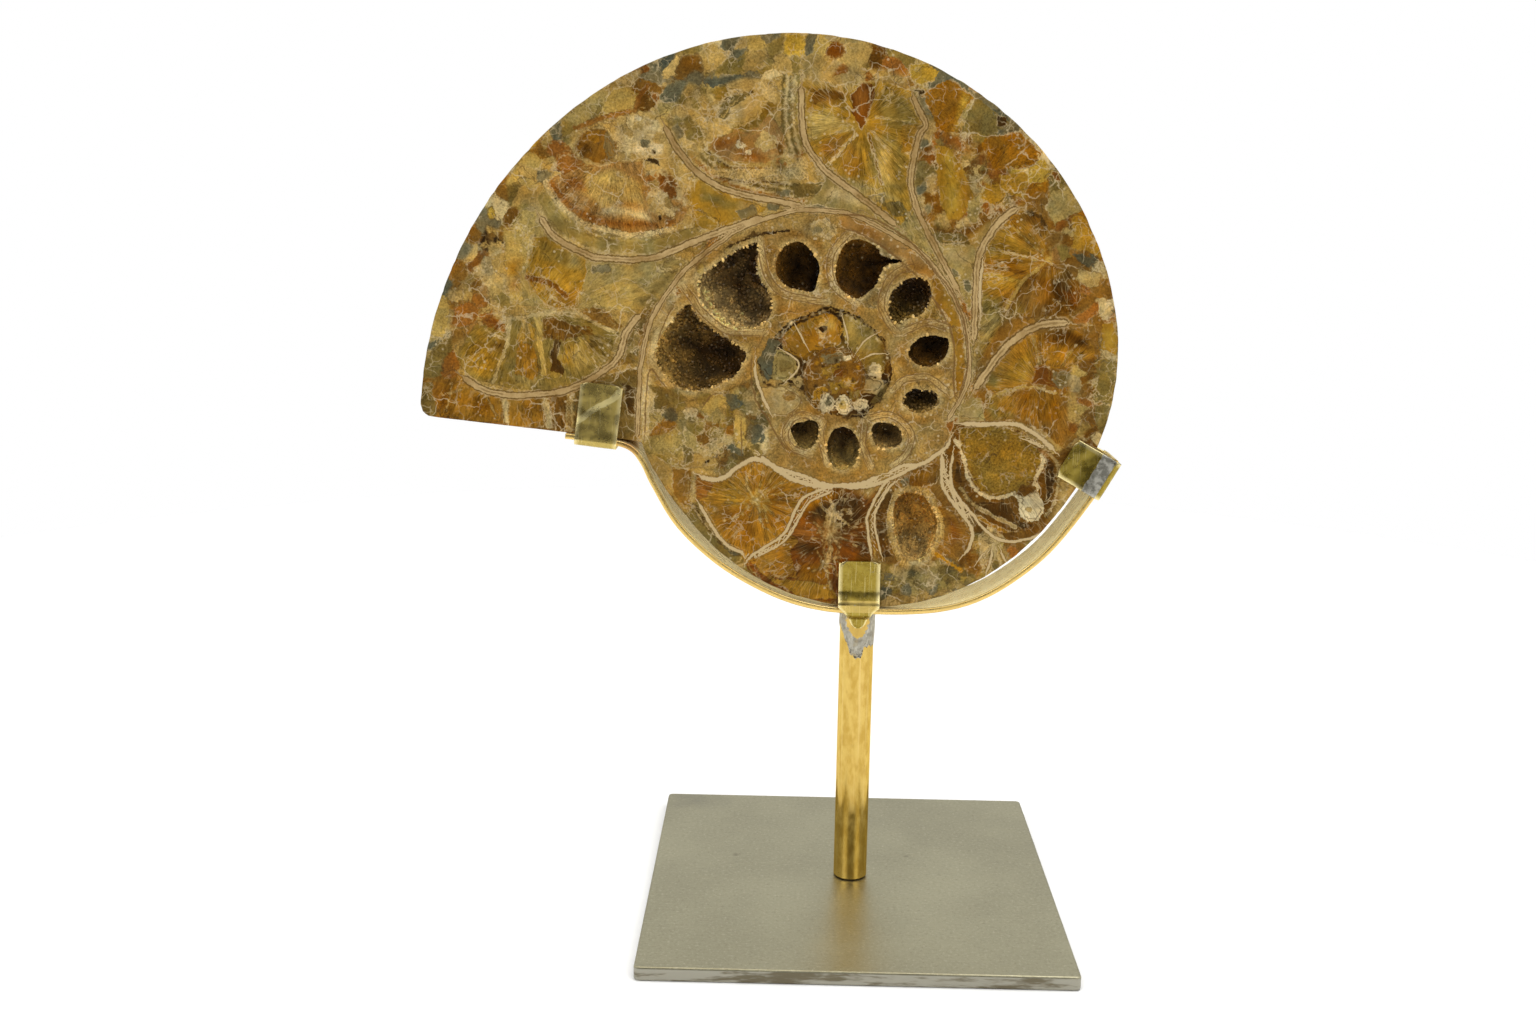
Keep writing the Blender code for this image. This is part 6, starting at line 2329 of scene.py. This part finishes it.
def druse_tree(shape, material):
    """Stands small crystals all over a surface, turned and sized at random."""
    nodes, given = geometry_tree(
        "druse", Density="Float", Smallest="Float", Largest="Float", Lean="Float", Seed="Int"
    )
    surface = {"Mesh": given["Geometry"], "Density": given["Density"], "Seed": given["Seed"]}
    points = nodes.add("GeometryNodeDistributePointsOnFaces", surface, "Points")
    upright = Value(nodes, points.socket.node.outputs["Rotation"])
    crystal = nodes.add("GeometryNodeObjectInfo", {"Object": shape}, "Geometry")
    sizes = {2: given["Smallest"], 3: given["Largest"], "Seed": given["Seed"]}
    size = nodes.add("FunctionNodeRandomValue", sizes, 1, data_type="FLOAT")
    leans = {0: given["Lean"] * -1.0, 1: given["Lean"]}
    lean = nodes.add("FunctionNodeRandomValue", leans, 0, data_type="FLOAT_VECTOR")
    turn = nodes.add("FunctionNodeEulerToRotation", {0: lean})
    turned = nodes.add("FunctionNodeRotateRotation", {0: upright, 1: turn}, rotation_space="LOCAL")
    placed = {"Points": points, "Instance": crystal, "Rotation": turned, "Scale": size}
    return end_tree(nodes, nodes.add("GeometryNodeInstanceOnPoints", placed), material)


def make_druse_material():
    druse = Finish("druse", (1, 1, 1))
    druse.coat(1.0, druse.marks("tint", "Color"))
    shade = druse.patch(900, 3, 0.6, 0.3, 0.7, 0.7, 1.35)
    druse.coat(1.0, druse.add("ShaderNodeCombineColor", {0: shade, 1: shade, 2: shade}), "MULTIPLY")
    druse.coat(druse.fade(druse.cells(700, "F1"), 0.16, 0.26, 0.3, 0), (0.55, 0.46, 0.32))
    return druse.finish(
        Specular_IOR_Level=0.25,
        Roughness=druse.patch(500, 2, 0.55, 0.35, 0.65, 0.25, 0.5),
        Normal=druse.bump(druse.noise(2500, 2), 0.05 * MM, 0.3),
    )


def grow_druse(places, bowls, tint):
    """The crystals that line the hollows, grown from the bowls' own surface."""
    used, corners = np.unique(np.concatenate([np.array(face) for face in bowls]), return_inverse=True)
    ends = np.cumsum([len(face) for face in bowls])
    mesh = bpy.data.meshes.new("bowls")
    mesh.from_pydata(places[used].tolist(), [], [part.tolist() for part in np.split(corners, ends[:-1])])
    # The crystals take the bowls' colours, painted light and painted shade included, made lighter.
    add_marks(mesh, "tint", linear(np.clip(tint[used] * 1.35, 0, 240)))
    shape = crystal_shape()
    tree = druse_tree(shape, make_druse_material())
    sizes = dict(Density=DRUSE_DENSITY, Smallest=0.35 * MM, Largest=0.85 * MM, Lean=0.7, Seed=4)
    piece = grown("druse_crystals", mesh, tree, **sizes)
    bpy.data.objects.remove(shape)
    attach(piece, "root")


def face_mesh(outline, hollows):
    """The sawn face's points and triangles, its hollows left open, and the points round each edge."""
    loops = [outline] + hollows
    everything = np.concatenate(loops + [face_points(outline, hollows)])
    edges, start, rings = [], 0, []
    for loop in loops:
        index = np.arange(start, start + len(loop))
        rings.append(index)
        edges += list(zip(index.tolist(), np.roll(index, -1).tolist()))
        start += len(loop)
    found = delaunay_2d_cdt([Vector(p) for p in everything.tolist()], edges, [], 0, 1e-6)
    points = np.array([tuple(p) for p in found[0]])
    faces = np.array(found[2])
    assert len(points) == len(everything)
    middles = points[faces].mean(1)
    keep = is_inside(middles[:, 0], middles[:, 1], outline)
    for loop in hollows:
        keep &= ~is_inside(middles[:, 0], middles[:, 1], loop)
    return points, faces[keep], rings


def make_fossil():
    outline = face_outline()
    hollows = [evenly(smooth_line(points, True), HOLLOW_SPACING, closed=True) for points, *_ in HOLLOWS]
    draw = np.random.default_rng(9)
    hollows = [ring + draw.uniform(-0.1, 0.1, ring.shape) for ring in hollows]
    points, faces, rings = face_mesh(outline, hollows)
    face = SawnFace(points[:, 0], points[:, 1])
    for lay in (lay_ground, lay_living_chamber, lay_first_chamber, lay_second_chamber, lay_third_chamber,
                lay_fourth_chamber, lay_fifth_chamber, lay_sixth_chamber, lay_seventh_chamber,
                lay_eighth_chamber, lay_ninth_chamber, lay_tenth_chamber, lay_eleventh_chamber,
                lay_inner_coil, lay_broken_shell, lay_inner_disc, lay_walls, shade_hollow_rims, weather):
        lay(face)

    stone = StoneMesh()
    stone.add_points(points[:, 0], FACE_Y / MM, points[:, 1], face.under)
    stone.faces += faces.tolist()
    first_bowl = len(stone.faces)
    for (_, depth, way, share, pale, deep_colour_and_shade), ring, loop in zip(HOLLOWS, rings[1:], hollows):
        sunk_hollow(stone, ring, loop, depth, way, share, pale, deep_colour_and_shade)
    bowls = stone.faces[first_bowl:]
    outward = outline - np.array(COIL_CENTRE)
    eased = outline + outward / np.hypot(*outward.T)[:, None] * 0.1
    rim = stone.add_points(eased[:, 0], FACE_Y / MM + 0.3, eased[:, 1], face.under[rings[0]] * 0.9)
    stone.join(rings[0], rim)
    shell_back(stone, rim, eased)

    places = np.concatenate(stone.places) * MM + np.array([POST_X, 0, PLATE_TOP])
    mesh = bpy.data.meshes.new("ammonite")
    mesh.from_pydata(places.tolist(), [], stone.faces)
    tint = np.concatenate(stone.tint)
    extra = stone.count - len(points)
    grain = np.stack([face.streak, face.grit, np.ones(len(points))], 1)
    lines = np.stack([face.wall, face.seam, face.edge], 1)
    marks = {
        "tint": linear(tint),
        "over": linear(np.concatenate([face.over, tint[len(points):]])),
        "fan": np.concatenate([face.fan, np.zeros((extra, 3))]),
        "grain": np.concatenate([grain, np.tile([0.0, 0.9, 0.0], (extra, 1))]),
        "lines": np.concatenate([lines, np.full((extra, 3), FAR)]),
        "veins": np.concatenate([np.stack([face.vein, face.growth, face.grit], 1), np.full((extra, 3), FAR)]),
        "coil": np.concatenate(stone.coil),
    }
    for name, values in marks.items():
        add_marks(mesh, name, values)
    made = bmesh.new()
    made.from_mesh(mesh)
    finish_object("ammonite_half", made, make_stone_material(), 42, ["fossil_half"])
    grow_druse(places, bowls, tint)


make_fossil()
